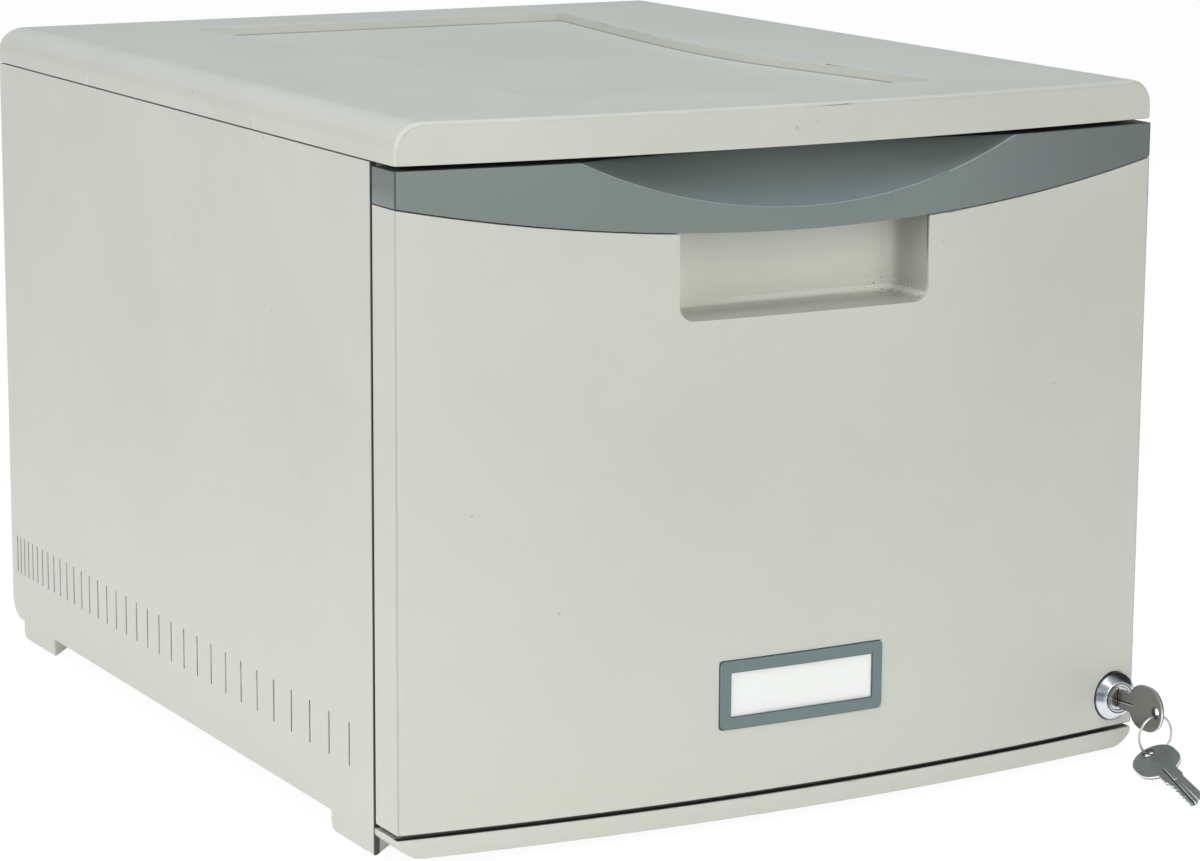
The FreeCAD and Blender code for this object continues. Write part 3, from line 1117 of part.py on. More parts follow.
# The spare key hangs on the ring, its blade forward and a little down
spare = key_blank("spare_body")
turn = (Rotation(Vector(0, 0, 1), -number("spare_turn_angle"))
        * Rotation(Vector(1, 0, 0), number("spare_droop_angle"))
        * Rotation(Vector(0, 1, 0), -number("spare_roll_angle")) * Rotation(Vector(1, 0, 1), 180))
hang = math.radians(number("spare_place_angle"))
hang_spot = Vector(number(RING_X) + number("ring_radius") * math.cos(hang), number(HOLE_Y),
                   number(RING_Z) + number("ring_radius") * math.sin(hang))
hole_local = Vector(0, -number("bow_reach+key_hole_place"), 0)
spare.Placement = Placement(hang_spot - turn.multVec(hole_local), turn)
node("spare_key", spare)

doc.recompute()
for item in doc.Objects:
    if "Invalid" in item.State or "Error" in item.State:
        raise RuntimeError("%s is %s" % (item.Name, item.State))
for name, thing in NODES.items():
    if thing.Shape.isNull() or not thing.Shape.isValid() or not thing.Shape.Solids:
        raise RuntimeError("%s has no valid solid" % name)
os.makedirs("parts", exist_ok=True)
for name, thing in NODES.items():
    thing.Shape.exportStep("parts/%s.step" % name)
    print(name, len(thing.Shape.Solids), round(thing.Shape.Volume))
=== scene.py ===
import math
import bmesh
import bpy
from mathutils import Matrix, Vector


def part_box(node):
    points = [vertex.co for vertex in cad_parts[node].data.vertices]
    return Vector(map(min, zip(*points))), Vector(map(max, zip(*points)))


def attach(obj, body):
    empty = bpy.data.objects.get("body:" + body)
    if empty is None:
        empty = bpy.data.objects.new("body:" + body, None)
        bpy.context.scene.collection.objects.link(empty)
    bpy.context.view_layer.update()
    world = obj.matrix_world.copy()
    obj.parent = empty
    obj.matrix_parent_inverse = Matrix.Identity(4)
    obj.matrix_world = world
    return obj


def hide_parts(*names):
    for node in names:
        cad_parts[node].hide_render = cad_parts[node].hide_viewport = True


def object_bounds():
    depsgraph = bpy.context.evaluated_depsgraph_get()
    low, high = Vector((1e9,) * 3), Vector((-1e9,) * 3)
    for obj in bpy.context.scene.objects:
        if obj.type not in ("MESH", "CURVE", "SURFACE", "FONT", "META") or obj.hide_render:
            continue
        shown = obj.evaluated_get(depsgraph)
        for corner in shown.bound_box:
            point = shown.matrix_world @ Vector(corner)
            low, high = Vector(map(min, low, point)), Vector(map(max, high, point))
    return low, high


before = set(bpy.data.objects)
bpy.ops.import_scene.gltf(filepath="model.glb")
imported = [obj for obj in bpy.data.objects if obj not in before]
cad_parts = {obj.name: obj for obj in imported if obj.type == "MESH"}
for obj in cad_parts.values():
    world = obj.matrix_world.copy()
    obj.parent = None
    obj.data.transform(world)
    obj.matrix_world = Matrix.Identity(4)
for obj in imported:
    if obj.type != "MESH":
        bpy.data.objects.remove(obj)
cad_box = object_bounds()

# View: the camera stands a little above the lid's height, left of the drawer's front, with a long
# lens, and leans by a third of a degree.
CAMERA_SPOT = (-0.85178, -1.58333, 0.49351)
CAMERA_HEADING, CAMERA_DIP, CAMERA_LEAN = -0.50736, 0.19973, 0.005664
SENSOR_MM, LENS_MM, VIEW_REACH = 36, 114.61, 60
camera = bpy.data.objects.new("camera", bpy.data.cameras.new("camera"))
bpy.context.collection.objects.link(camera)
camera.data.sensor_width = SENSOR_MM
camera.data.lens = LENS_MM
camera.data.clip_end = VIEW_REACH
aim = Matrix.Rotation(CAMERA_HEADING, 4, "Z") @ Matrix.Rotation(math.pi / 2 - CAMERA_DIP, 4, "X")
lean = Matrix.Rotation(CAMERA_LEAN, 4, "Z")
camera.matrix_world = Matrix.Translation(CAMERA_SPOT) @ aim @ lean
bpy.context.scene.camera = camera
bpy.context.scene.view_settings.view_transform = "Standard"


# Floor and light: a plain white floor that keeps the shadow, a pale surround that is cooler
# overhead and dimmer on the right, and four broad soft lamps: front, left and two above.
class Paint:
    """A material and its nodes."""

    def __init__(self, name, owner=None):
        self.material = owner or bpy.data.materials.new(name)
        self.material.use_nodes = True
        self.tree = self.material.node_tree
        self.tree.nodes.clear()

    def node(self, kind, settings=None, inputs=None, output=0):
        """Add a node, with its settings and then its sockets, and give one of its outputs."""
        added = self.tree.nodes.new("ShaderNode" + kind)
        for name, setting in (settings or {}).items():
            setattr(added, name, setting)
        for name, value in (inputs or {}).items():
            self.put(added.inputs[name], value)
        return Wire(self, added.outputs[output]) if added.outputs else added

    def put(self, socket, value):
        """Set a socket to a number or colour, or link a wire to it."""
        if isinstance(value, Wire):
            self.tree.links.new(value.socket, socket)
        else:
            socket.default_value = value

    def finish(self, shader, kind="OutputMaterial"):
        """Make the shader the surface, and give the material."""
        self.node(kind, inputs={"Surface": shader})
        return self.material

    def blend(self, share, low, high):
        """A colour between two others."""
        return self.node("Mix", {"data_type": "RGBA"}, {0: share, 6: low, 7: high}, output=2)

    def stain(self, tone, mask, strength, colour):
        """The tone with a colour laid over it where the mask is, no stronger than stated."""
        return self.blend(mask * strength, tone, colour)

    def place(self):
        """The point on the object, in metres."""
        return self.node("TexCoord", output=3)

    def along(self, axis):
        """How far the point lies along one axis, in metres."""
        return self.node("SeparateXYZ", inputs={0: self.place()}, output="XYZ".index(axis))

    def toward(self, start, direction):
        """How far the point lies from a start along a direction, in metres."""
        offset = self.node("VectorMath", {"operation": "SUBTRACT"}, {0: self.place(), 1: start})
        return self.node("VectorMath", {"operation": "DOT_PRODUCT"}, {0: offset, 1: direction},
                         output=1)

    def noise(self, scale, detail=3.0, stretch=(1, 1, 1), rough=0.5):
        """Cloudy variation from 0 to 1, with so many features per metre."""
        spread = self.node("VectorMath", {"operation": "MULTIPLY"}, {0: self.place(), 1: stretch})
        return self.node("TexNoise", inputs={"Vector": spread, "Scale": scale, "Detail": detail,
                                             "Roughness": rough})

    def bump(self, height, depth):
        """Turn a height from 0 to 1 into a relief so many metres deep."""
        return self.node("Bump", inputs={"Height": height, "Distance": depth, "Strength": 1.0})


class Wire:
    """A value on its way from node to node, which takes part in sums like a number."""

    def __init__(self, paint, socket):
        self.paint = paint
        self.socket = socket

    def math(self, operation, first, second=0.0):
        return self.paint.node("Math", {"operation": operation}, {0: first, 1: second})

    def __add__(self, other):
        return self.math("ADD", self, other)

    def __sub__(self, other):
        return self.math("SUBTRACT", self, other)

    def __rsub__(self, other):
        return self.math("SUBTRACT", other, self)

    def __mul__(self, other):
        return self.math("MULTIPLY", self, other)

    def __truediv__(self, other):
        return self.math("DIVIDE", self, other)

    def __pow__(self, other):
        return self.math("POWER", self, other)

    def __abs__(self):
        return self.math("ABSOLUTE", self)

    __radd__ = __add__
    __rmul__ = __mul__

    def at_least(self, other):
        return self.math("MAXIMUM", self, other)

    def at_most(self, other):
        return self.math("MINIMUM", self, other)

    def over(self, low, high):
        """0 below low, 1 above high, and smooth between."""
        return self.paint.node("MapRange", {"interpolation_type": "SMOOTHSTEP"},
                               {"Value": self, "From Min": low, "From Max": high})

    def under(self, low, high):
        """1 below low, 0 above high, and smooth between."""
        return 1 - self.over(low, high)

    def within(self, low, high, soft=0.0001):
        """1 between low and high, falling to 0 over a soft margin outside them."""
        return self.over(low - soft, low) * self.under(high, high + soft)


FLOOR_REACH, FLOOR_PARTS = 14, 8
FLOOR_COLOUR, FLOOR_GLOW, GLOW_SHARE = (0.93, 0.93, 0.92, 1), 1.05, 0.9
paint = Paint("floor_white")
seen = paint.node("LightPath", output=0)
mirrored = paint.node("LightPath", output=3)
plain = paint.node("BsdfDiffuse", inputs={"Color": FLOOR_COLOUR})
glow = paint.node("Emission", inputs={"Color": (1, 1, 1, 1), "Strength": FLOOR_GLOW})
share = (seen + mirrored).at_most(1.0) * GLOW_SHARE
floor_white = paint.finish(paint.node("MixShader", inputs={0: share, 1: plain, 2: glow}))
sheet = bmesh.new()
bmesh.ops.create_grid(sheet, x_segments=FLOOR_PARTS, y_segments=FLOOR_PARTS, size=FLOOR_REACH)
floor = bpy.data.objects.new("floor", bpy.data.meshes.new("floor"))
sheet.to_mesh(floor.data)
sheet.free()
floor.data.materials.append(floor_white)
bpy.context.collection.objects.link(floor)

SKY_LOW, SKY_HIGH, SKY_RIGHT = (0.97, 0.985, 1.0, 1), (0.86, 0.94, 1.0, 1), (0.25, 0.26, 0.27, 1)
SKY_RISE, SKY_DIMMING, DIM_SHARE, SKY_STRENGTH = (0.0, 0.8), (0.35, 0.9), 0.55, 0.36
world = bpy.data.worlds.new("surround")
surround = Paint("surround", world)
ray = surround.node("TexCoord", output=0)
upward = surround.node("SeparateXYZ", inputs={0: ray}, output=2)
rightward = surround.node("SeparateXYZ", inputs={0: ray}, output=0)
sky = surround.blend(upward.over(*SKY_RISE), SKY_LOW, SKY_HIGH)
sky = surround.stain(sky, rightward.over(*SKY_DIMMING), DIM_SHARE, SKY_RIGHT)
surround.finish(surround.node("Background", inputs={"Color": sky, "Strength": SKY_STRENGTH}),
                "OutputWorld")
bpy.context.scene.world = world

LAMP_SIZE, LAMP_AIM = 1.6, Vector((0, 0, 0.15))
for name, spot, power, tint in (("front", (0.0, -2.5, 1.1), 20, (1.0, 0.99, 0.90)),
                                ("left", (-2.3, -0.5, 0.8), 20, (1.0, 0.985, 0.93)),
                                ("top", (0.3, 0.6, 2.6), 19, (0.87, 0.96, 1.0)),
                                ("near_top", (-0.7, -0.7, 2.3), 14.5, (0.97, 0.96, 1.0))):
    lamp = bpy.data.objects.new("lamp_" + name, bpy.data.lights.new("lamp_" + name, "AREA"))
    lamp.data.size = LAMP_SIZE
    lamp.data.energy = power
    lamp.data.color = tint
    lamp.location = spot
    lamp.rotation_euler = (LAMP_AIM - Vector(spot)).to_track_quat("-Z", "Y").to_euler()
    bpy.context.collection.objects.link(lamp)


# Top lid: a cap of grey polystyrene with a fine grain and a shallow tray, moulded in one piece
# and screwed on from inside. Its front follows the drawer's shallow bow.
BOW_RISE = 0.014
HALF_WIDTH = cad_box[1][0]
FRONT_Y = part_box("drawer_front")[0].y
BOW_RADIUS = (HALF_WIDTH ** 2 + BOW_RISE ** 2) / (2 * BOW_RISE)
BOW_MIDDLE = FRONT_Y + BOW_RADIUS
SHELL_WALL = 0.003
NEAR_FORM = 0.00025
DOUBLE, SLIVER, CUT_NEAR = 2e-6, 0.00002, 0.0001
FLAT_ANGLE, ARRIS_ANGLE = math.radians(0.05), math.radians(32)
STRIPS = (("X", 0.008),)


def on_round(spot, radius):
    """The spot moved onto the upright cylinder of that radius about the bow's middle."""
    return Vector((spot.x, BOW_MIDDLE - math.sqrt(radius ** 2 - spot.x ** 2), spot.z))


def on_bow(spot):
    """The spot moved onto the bowed face, or the one a wall inside it, if it lies near either."""
    reach = math.hypot(spot.x, spot.y - BOW_MIDDLE)
    for radius in (BOW_RADIUS, BOW_RADIUS - SHELL_WALL):
        if abs(reach - radius) < NEAR_FORM:
            return on_round(spot, radius)
    return None


def slice_form(form, axis, step, low, high):
    """Cut the form at every step along an axis, so that its curved faces can follow their curve."""
    normal = Vector([float(letter == axis) for letter in "XYZ"])
    for turn in range(math.ceil(low / step), math.floor(high / step) + 1):
        bmesh.ops.bisect_plane(form, geom=form.verts[:] + form.edges[:] + form.faces[:],
                               dist=CUT_NEAR, plane_co=normal * step * turn, plane_no=normal)


def piece_from(node, body, material, rounding, segments=2, slices=(), follow=(),
               shape=None):
    """A piece with the node's form, its edges rounded as moulding or tumbling leaves them."""
    form = bmesh.new()
    form.from_mesh(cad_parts[node].data)
    bmesh.ops.remove_doubles(form, verts=form.verts, dist=DOUBLE)
    if slices:
        bmesh.ops.dissolve_limit(form, angle_limit=FLAT_ANGLE, verts=form.verts,
                                 edges=form.edges)
    low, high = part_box(node)
    for axis, step in slices:
        index = "XYZ".index(axis)
        slice_form(form, axis, step, low[index], high[index])
    for curve in follow:
        for vert in form.verts:
            vert.co = curve(vert.co) or vert.co
    if slices:
        bmesh.ops.remove_doubles(form, verts=form.verts, dist=SLIVER)
    if shape:
        shape(form)
    for face in form.faces:
        face.smooth = True
    mesh = bpy.data.meshes.new(node + "_form")
    form.to_mesh(mesh)
    form.free()
    mesh.set_sharp_from_angle(angle=ARRIS_ANGLE)
    piece = bpy.data.objects.new(node + "_form", mesh)
    bpy.context.collection.objects.link(piece)
    if rounding:
        bevel = piece.modifiers.new("rounding", "BEVEL")
        bevel.width = rounding
        bevel.segments = segments
        bevel.limit_method = "ANGLE"
        bevel.angle_limit = ARRIS_ANGLE
        bevel.use_clamp_overlap = False
    level = piece.modifiers.new("even_shading", "WEIGHTED_NORMAL")
    level.keep_sharp = not rounding
    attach(piece, body)
    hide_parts(node)
    mesh.materials.append(material)


def shaded(colour, factor):
    """The colour made darker or lighter."""
    return tuple(min(part * factor, 1) for part in colour) + (1,)


CLOUDING, SPECK_SHADE, BOUNCE_LIGHTENING, FOOT_HEIGHT = 0.04, 0.5, 1.17, 0.2
CLOUD_RANGE, SPECK_RANGE, SPECKED_PATCH = (0.2, 0.8), (0.735, 0.79), (0.5, 0.62)
FINE_GRAIN, BROAD_GRAIN, SHINE_SPREAD, PLASTIC_IOR = 0.7, 0.3, 0.14, 1.5
SHELL = (0.595, 0.60, 0.55)
PAINTED_SHELL_SHADE = (0.16, 0.165, 0.15, 1)
PAINTED_GAP_SHADE = (0.035, 0.037, 0.035, 1)
RUBBED_GREY, SCRATCH_GREY = (0.66, 0.68, 0.66, 1), (0.85, 0.86, 0.85, 1)


def moulded(name, colour, grain=1400, depth=0.00003, rough=0.42, pale=0.0, marks=None):
    """Moulded plastic with a fine grain, clouds of tone, specks, marks of use and painted light and
    shade, and painted bounce light that pales the foot.
    """
    paint = Paint(name)
    clouds = paint.noise(7, detail=4, rough=0.6).over(*CLOUD_RANGE)
    tone = paint.blend(clouds, shaded(colour, 1 - CLOUDING), shaded(colour, 1 + CLOUDING))
    specks = paint.noise(210, detail=2).over(*SPECK_RANGE)
    specks = specks * paint.noise(31, detail=1).over(*SPECKED_PATCH)
    tone = paint.stain(tone, specks, 0.5, shaded(colour, SPECK_SHADE))
    # Painted bounce light: the foot is painted lighter, standing in for light thrown up from the
    # floor.
    if pale:
        foot = paint.along("Z").under(0.0, FOOT_HEIGHT)
        tone = paint.stain(tone, foot, pale, shaded(colour, BOUNCE_LIGHTENING))
    shine = rough + (paint.noise(30) - 0.5) * SHINE_SPREAD
    if marks:
        tone, shine = marks(paint, tone, shine)
    relief = (paint.noise(grain, detail=2) * FINE_GRAIN
              + paint.noise(grain / 4, detail=2) * BROAD_GRAIN)
    return paint.finish(paint.node("BsdfPrincipled", inputs={
        "Base Color": tone, "Roughness": shine, "Normal": paint.bump(relief, depth),
        "IOR": PLASTIC_IOR}))


LID_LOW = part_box("top_lid")[0].z
SEAM_HEIGHTS = (LID_LOW + 0.00005, LID_LOW + 0.0003)
SEAM_ENDS = (HALF_WIDTH - 0.0001, HALF_WIDTH)
TRAY_DEPTH = 0.0048
TRAY_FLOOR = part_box("top_lid")[1].z - TRAY_DEPTH
TRAY_SIDES, TRAY_ENDS = (0.14, 0.15), (0.195, 0.205)
TRAY_SHADE_LINE = (TRAY_FLOOR + 0.0001, TRAY_FLOOR + 0.0006)
RUBBED_RANGE, SCRATCH_RANGE, SCRATCHED_PATCH = (0.56, 0.72), (0.70, 0.74), (0.5, 0.6)
RUBBED_GLOSS = 0.06


def lid_marks(paint, tone, shine):
    """Rubbed patches and scratches, painted shade in the seam below, and painted shade along the
    tray wall's foot.
    """
    across, back, height = abs(paint.along("X")), abs(paint.along("Y")), paint.along("Z")
    rubbed = paint.noise(14, detail=5, stretch=(0.5, 1.6, 1)).over(*RUBBED_RANGE)
    tone = paint.stain(tone, rubbed, 0.10, RUBBED_GREY)
    # Painted shade in the seam under the lid.
    seam = height.under(*SEAM_HEIGHTS) * across.under(*SEAM_ENDS)
    tone = paint.stain(tone, seam, 0.9, PAINTED_GAP_SHADE)
    # Painted shade along the foot of the tray's wall, where it meets the floor.
    dust = height.within(*TRAY_SHADE_LINE, soft=0.00005)
    tray = across.under(*TRAY_SIDES) * back.under(*TRAY_ENDS)
    tone = paint.stain(tone, dust * tray, 0.5, PAINTED_SHELL_SHADE)
    scratch = paint.noise(120, detail=2, stretch=(0.06, 1, 1)).over(*SCRATCH_RANGE)
    scratch = scratch * paint.noise(9, detail=1).over(*SCRATCHED_PATCH)
    tone = paint.stain(tone, scratch, 0.25, SCRATCH_GREY)
    return tone, shine - rubbed * RUBBED_GLOSS


lid_shell = moulded("lid_plastic", SHELL, marks=lid_marks)
piece_from("top_lid", "cabinet", lid_shell, rounding=0.0003,
           slices=STRIPS + (("Y", 0.02),), follow=(on_bow,))

# Side panels: two mirrored mouldings of the same plastic, each with a foot at either end and a row
# of low sunk bars. Screws from inside hold them to the lid, the base and the back.
PANEL_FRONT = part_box("left_side_panel")[0].y
BARS_SUNK, BARS_HEIGHT = (0.1868, 0.1871), (0.0331, 0.0519)
JOINT_DEPTH = (PANEL_FRONT + 0.0003, PANEL_FRONT + 0.0009)
JOINT_ACROSS = (HALF_WIDTH - 0.0030, HALF_WIDTH - 0.0022)
REAR_BARS, DEEPER_SHADE_RANGE = (0.165, 0.185), (0.40, 0.55)
LEAST_BAR_SHADE, MORE_BAR_SHADE, PAINTED_BOUNCE = 0.75, 0.25, 0.8


def side_marks(paint, tone, shine):
    """Painted shade in the sunk bars, and in the joint along the front edge."""
    side, back = abs(paint.along("X")), paint.along("Y")
    # Painted shade in the sunk bars, stronger in broken stretches and over the rear bars.
    bars = side.within(*BARS_SUNK, soft=0.00008) * paint.along("Z").within(*BARS_HEIGHT)
    deeper_shade = paint.noise(170, detail=2, stretch=(0, 1, 0.35)).over(*DEEPER_SHADE_RANGE)
    deeper_shade = deeper_shade.at_least(back.over(*REAR_BARS))
    tone = paint.blend(bars * (LEAST_BAR_SHADE + MORE_BAR_SHADE * deeper_shade), tone, PAINTED_GAP_SHADE)
    # Painted shade in the joint along the panel's front edge.
    joint = back.under(*JOINT_DEPTH) * side.over(*JOINT_ACROSS)
    return paint.stain(tone, joint, 0.95, PAINTED_GAP_SHADE), shine


side_shell = moulded("side_plastic", SHELL, pale=PAINTED_BOUNCE, marks=side_marks)
for node in ("left_side_panel", "right_side_panel"):
    piece_from(node, "cabinet", side_shell, rounding=0.0003)

# Back panel: a plain moulded sheet of the same plastic that closes the cabinet's rear, held by
# six screws whose heads lie sunk in it.
shell = moulded("shell_plastic", SHELL, pale=PAINTED_BOUNCE)
piece_from("back_panel", "cabinet", shell, rounding=0.0003)

# Base panel: the moulded floor of the cabinet, screwed up into the side panels. Its lip follows the
# bow below the drawer's front, and painted shade darkens the gap above the lip.
LIP_TOP = 0.0123
LIP_GAP = (0.0014, 0.0040)


def sunk_below_bow(paint):
    """How far the point lies behind the bowed face, in metres."""
    across = paint.along("X")
    return paint.along("Y") - FRONT_Y - across * across * (0.5 / BOW_RADIUS)


def base_marks(paint, tone, shine):
    """Painted shade on the lip's top, in the gap below the drawer front."""
    top = paint.along("Z").over(LIP_TOP - 0.0002, LIP_TOP)
    gap = top * sunk_below_bow(paint).within(*LIP_GAP, soft=0.0010)
    return paint.stain(tone, gap, 0.95, PAINTED_GAP_SHADE), shine


base_shell = moulded("base_plastic", SHELL, pale=PAINTED_BOUNCE, marks=base_marks)
piece_from("base_panel", "cabinet", base_shell, rounding=0.0004, slices=STRIPS,
           follow=(on_bow,))

# Drawer front: a bowed shell, moulded with the finger pocket in it and screwed to the liner behind.
# The pocket carries painted light, shade and highlights. A pair of numbers is where a mark starts
# and ends, in metres.
POCKET_HALF, POCKET_LOW, POCKET_TOP, POCKET_SLACK = 0.062, 0.2222, 0.2722, 0.0005
POCKET_SUNK = (0.0006, 0.002)
POCKET_LIT, POCKET_LEFT_LIT = (0.82, 0.82, 0.76, 1), (0.97, 0.94, 0.84, 1)
HIGHLIGHT_AND_CHIP_PALE, SCUFF_BLACK = (0.97, 0.97, 0.93, 1), (0.08, 0.08, 0.07, 1)
RIGHT_SIDE, RIGHT_RISE = (0.049, POCKET_HALF), (0.236, 0.268)
RIGHT_WALL = (POCKET_HALF - 0.0030, POCKET_HALF - 0.0004)
UNDER_BAND = (0.25, POCKET_TOP)
RIGHT_SHADE_SHARE, WALL_SHADE_SHARE, TOP_SHADE_SHARE = 0.42, 0.30, 0.10
FADED_SIDE = (-POCKET_HALF, -0.030)
FLOOR_HEIGHT = (0.2232, 0.2242)
CREASE_HEIGHT, CREASE_ACROSS = (0.2246, 0.2258), (-0.01, 0.045)
RIM_HEIGHT, RIM_FOOT = (0.2228, 0.2240), (POCKET_LOW - 0.0022, POCKET_LOW - 0.0014)
RIM_ACROSS, RIM_INNER, RIM_OUTER = (0.050, 0.056), (0.0012, 0.0019), (0.0001, 0.0005)
FAR_EDGE, FAR_SUNK = (POCKET_HALF - 0.0012, POCKET_HALF - 0.0006), (0.0010, 0.0022)
FAR_HEIGHT = (0.234, 0.25)
CORNER_ACROSS, CORNER_HEIGHT = (0.036, 0.052), (0.225, 0.234)
SCUFF_RANGE, CHIP_RANGE = (0.63, 0.67), (0.65, 0.68)
ARRIS_ACROSS, ARRIS_SUNK = (HALF_WIDTH - 0.0009, HALF_WIDTH - 0.0005), (0.0004, 0.0007)
LABEL_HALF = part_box("label_frame")[1].x
LABEL_LOW, LABEL_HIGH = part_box("label_frame")[0].z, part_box("label_frame")[1].z
LABEL_CORNER, SEAT_JOINT = 0.002, (0.0002, 0.0005)
FRONT_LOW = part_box("drawer_front")[0].z
LOWER_EDGE = (FRONT_LOW + 0.0002, FRONT_LOW + 0.0006)


def beyond_label(paint):
    """How far the point lies outside the label frame's rounded outline, in metres."""
    across = abs(paint.along("X")) - (LABEL_HALF - LABEL_CORNER)
    up = abs(paint.along("Z") - (LABEL_LOW + LABEL_HIGH) / 2) - (
        (LABEL_HIGH - LABEL_LOW) / 2 - LABEL_CORNER)
    across, up = across.at_least(0.0), up.at_least(0.0)
    return (across * across + up * up) ** 0.5 - LABEL_CORNER


def front_marks(paint, tone, shine):
    """Painted light, shade and highlights in the pocket, its scuffs and chips, and painted shade in
    the joint round the label, along the lower edge and on the arrises.
    """
    across, height, sunk = paint.along("X"), paint.along("Z"), sunk_below_bow(paint)
    pocket = abs(across).within(0, POCKET_HALF + POCKET_SLACK, soft=0.0003) * height.within(
        POCKET_LOW - POCKET_SLACK, POCKET_TOP, soft=POCKET_SLACK) * sunk.over(*POCKET_SUNK)
    # Painted light: the pocket's back is painted lighter, for the light that falls into it.
    tone = paint.stain(tone, pocket, 0.85, POCKET_LIT)
    # Painted shade on the pocket's right side and wall, and under the band at its top.
    right = across.over(*RIGHT_SIDE) * (0.55 + 0.45 * height.over(*RIGHT_RISE))
    pocket_shade = (RIGHT_SHADE_SHARE * right + WALL_SHADE_SHARE * across.over(*RIGHT_WALL)
             + TOP_SHADE_SHARE * height.over(*UNDER_BAND))
    tone = paint.blend(pocket * pocket_shade, tone, PAINTED_SHELL_SHADE)
    # Painted light on the pocket's left part.
    tone = paint.stain(tone, pocket * across.under(*FADED_SIDE), 0.5, POCKET_LEFT_LIT)
    # Painted shade along the pocket's floor, mottled.
    floor = pocket * height.under(*FLOOR_HEIGHT)
    tone = paint.blend(floor * (0.25 + 0.25 * paint.noise(160)), tone, PAINTED_SHELL_SHADE)
    # Painted highlight along the crease where the pocket's floor meets its back.
    crease = pocket * height.within(*CREASE_HEIGHT, soft=0.0005) * across.within(
        *CREASE_ACROSS, soft=0.03)
    tone = paint.stain(tone, crease, 0.7, HIGHLIGHT_AND_CHIP_PALE)
    # Painted shade and a painted highlight on the pocket's rounded lower rim.
    rim = height.under(*RIM_HEIGHT) * abs(across).under(*RIM_ACROSS) * height.over(*RIM_FOOT)
    tone = paint.stain(tone, rim * sunk.within(*RIM_INNER, soft=0.0002), 0.6, PAINTED_SHELL_SHADE)
    tone = paint.stain(tone, rim * sunk.within(*RIM_OUTER), 0.8, HIGHLIGHT_AND_CHIP_PALE)
    # Painted shade on the upper part of the pocket's far right edge.
    far = across.over(*FAR_EDGE) * sunk.within(*FAR_SUNK, soft=0.0003) * pocket
    tone = paint.stain(tone, far * height.over(*FAR_HEIGHT), 0.8, PAINTED_GAP_SHADE)
    corner = pocket * across.over(*CORNER_ACROSS) * height.under(*CORNER_HEIGHT)
    scuffs = paint.noise(900, detail=2).over(*SCUFF_RANGE) * corner
    tone = paint.stain(tone, scuffs, 0.8, SCUFF_BLACK)
    chips = paint.noise(800, detail=2, stretch=(1, 1, 1.3)).over(*CHIP_RANGE) * corner
    tone = paint.stain(tone, chips, 0.8, HIGHLIGHT_AND_CHIP_PALE)
    # Painted shade in the joint round the label and along the front's lower edge.
    joint_shade = beyond_label(paint).under(*SEAT_JOINT) + height.under(*LOWER_EDGE)
    tone = paint.stain(tone, joint_shade.at_most(1.0), 0.9, PAINTED_GAP_SHADE)
    # Painted shade on the front's corner arrises.
    arris = abs(across).over(*ARRIS_ACROSS) * sunk.under(*ARRIS_SUNK)
    return paint.stain(tone, arris, 0.3, PAINTED_SHELL_SHADE), shine


FACE_NEAR, RIM_FOLD, RIM_END, RIM_ROUND, RIM_SEGMENTS = 0.00005, 0.6, 0.2555, 0.0016, 4


def soften_pocket(form):
    """Round the finger pocket's lower and side edges where fingers reach in."""
    rim = []
    for edge in form.edges:
        on_face = all(abs(math.hypot(vert.co.x, vert.co.y - BOW_MIDDLE) - BOW_RADIUS) < FACE_NEAR
                      and abs(vert.co.x) < POCKET_HALF + POCKET_SLACK
                      and POCKET_LOW - POCKET_SLACK < vert.co.z < RIM_END
                      for vert in edge.verts)
        if on_face and len(edge.link_faces) == 2 and edge.calc_face_angle() > RIM_FOLD:
            rim.append(edge)
    bmesh.ops.bevel(form, geom=rim, offset=RIM_ROUND, segments=RIM_SEGMENTS, profile=0.5,
                    affect="EDGES", clamp_overlap=True)


front_shell = moulded("front_plastic", SHELL, pale=PAINTED_BOUNCE, marks=front_marks)
piece_from("drawer_front", "drawer", front_shell, rounding=0.0004,
           slices=STRIPS + (("Z", 0.02),), follow=(on_bow,), shape=soften_pocket)

# Handle band: a separate moulding in blue grey that carries the scoop, screwed on from behind along
# the drawer front's top. The scoop carries painted shade, painted sky light and a painted rim
# highlight.
SCOOP_SECTION, SCOOP_DEPTH, SCOOP_EDGE, SCOOP_FALL = 0.032, 0.016, 0.300, 0.0239
SCOOP_RING = SCOOP_EDGE - math.sqrt(SCOOP_DEPTH * (2 * SCOOP_SECTION - SCOOP_DEPTH))
SCOOP_Y = FRONT_Y - SCOOP_SECTION + SCOOP_DEPTH
SCOOP_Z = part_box("handle_band")[1].z - SCOOP_FALL + SCOOP_EDGE
SCOOP_SUNK, SCOOP_UPPER, SCOOP_LOWER = (0.0003, 0.0012), (0.276, 0.286), (0.268, 0.279)
SCOOP_RIM, SCOOP_RIM_HALF, SHADED_SIDE = (0.0002, 0.0005), 0.105, (0.06, 0.185)
BAND = (0.185, 0.222, 0.218)
BAND_SHADE, BAND_SKY_LIGHT = (0.06, 0.07, 0.068, 1), (0.24, 0.31, 0.35, 1)
BAND_RIM_HIGHLIGHT, BAND_ARRIS_SHADE = (0.45, 0.52, 0.53, 1), (0.03, 0.035, 0.035, 1)


def on_scoop(spot):
    """The spot moved onto the scoop's round section, if it lies near it."""
    outward = Vector((spot.x, 0, spot.z - SCOOP_Z)).normalized()
    middle = Vector((0, SCOOP_Y, SCOOP_Z)) + outward * SCOOP_RING
    away = spot - middle
    if abs(away.length - SCOOP_SECTION) < NEAR_FORM:
        return middle + away.normalized() * SCOOP_SECTION
    return None


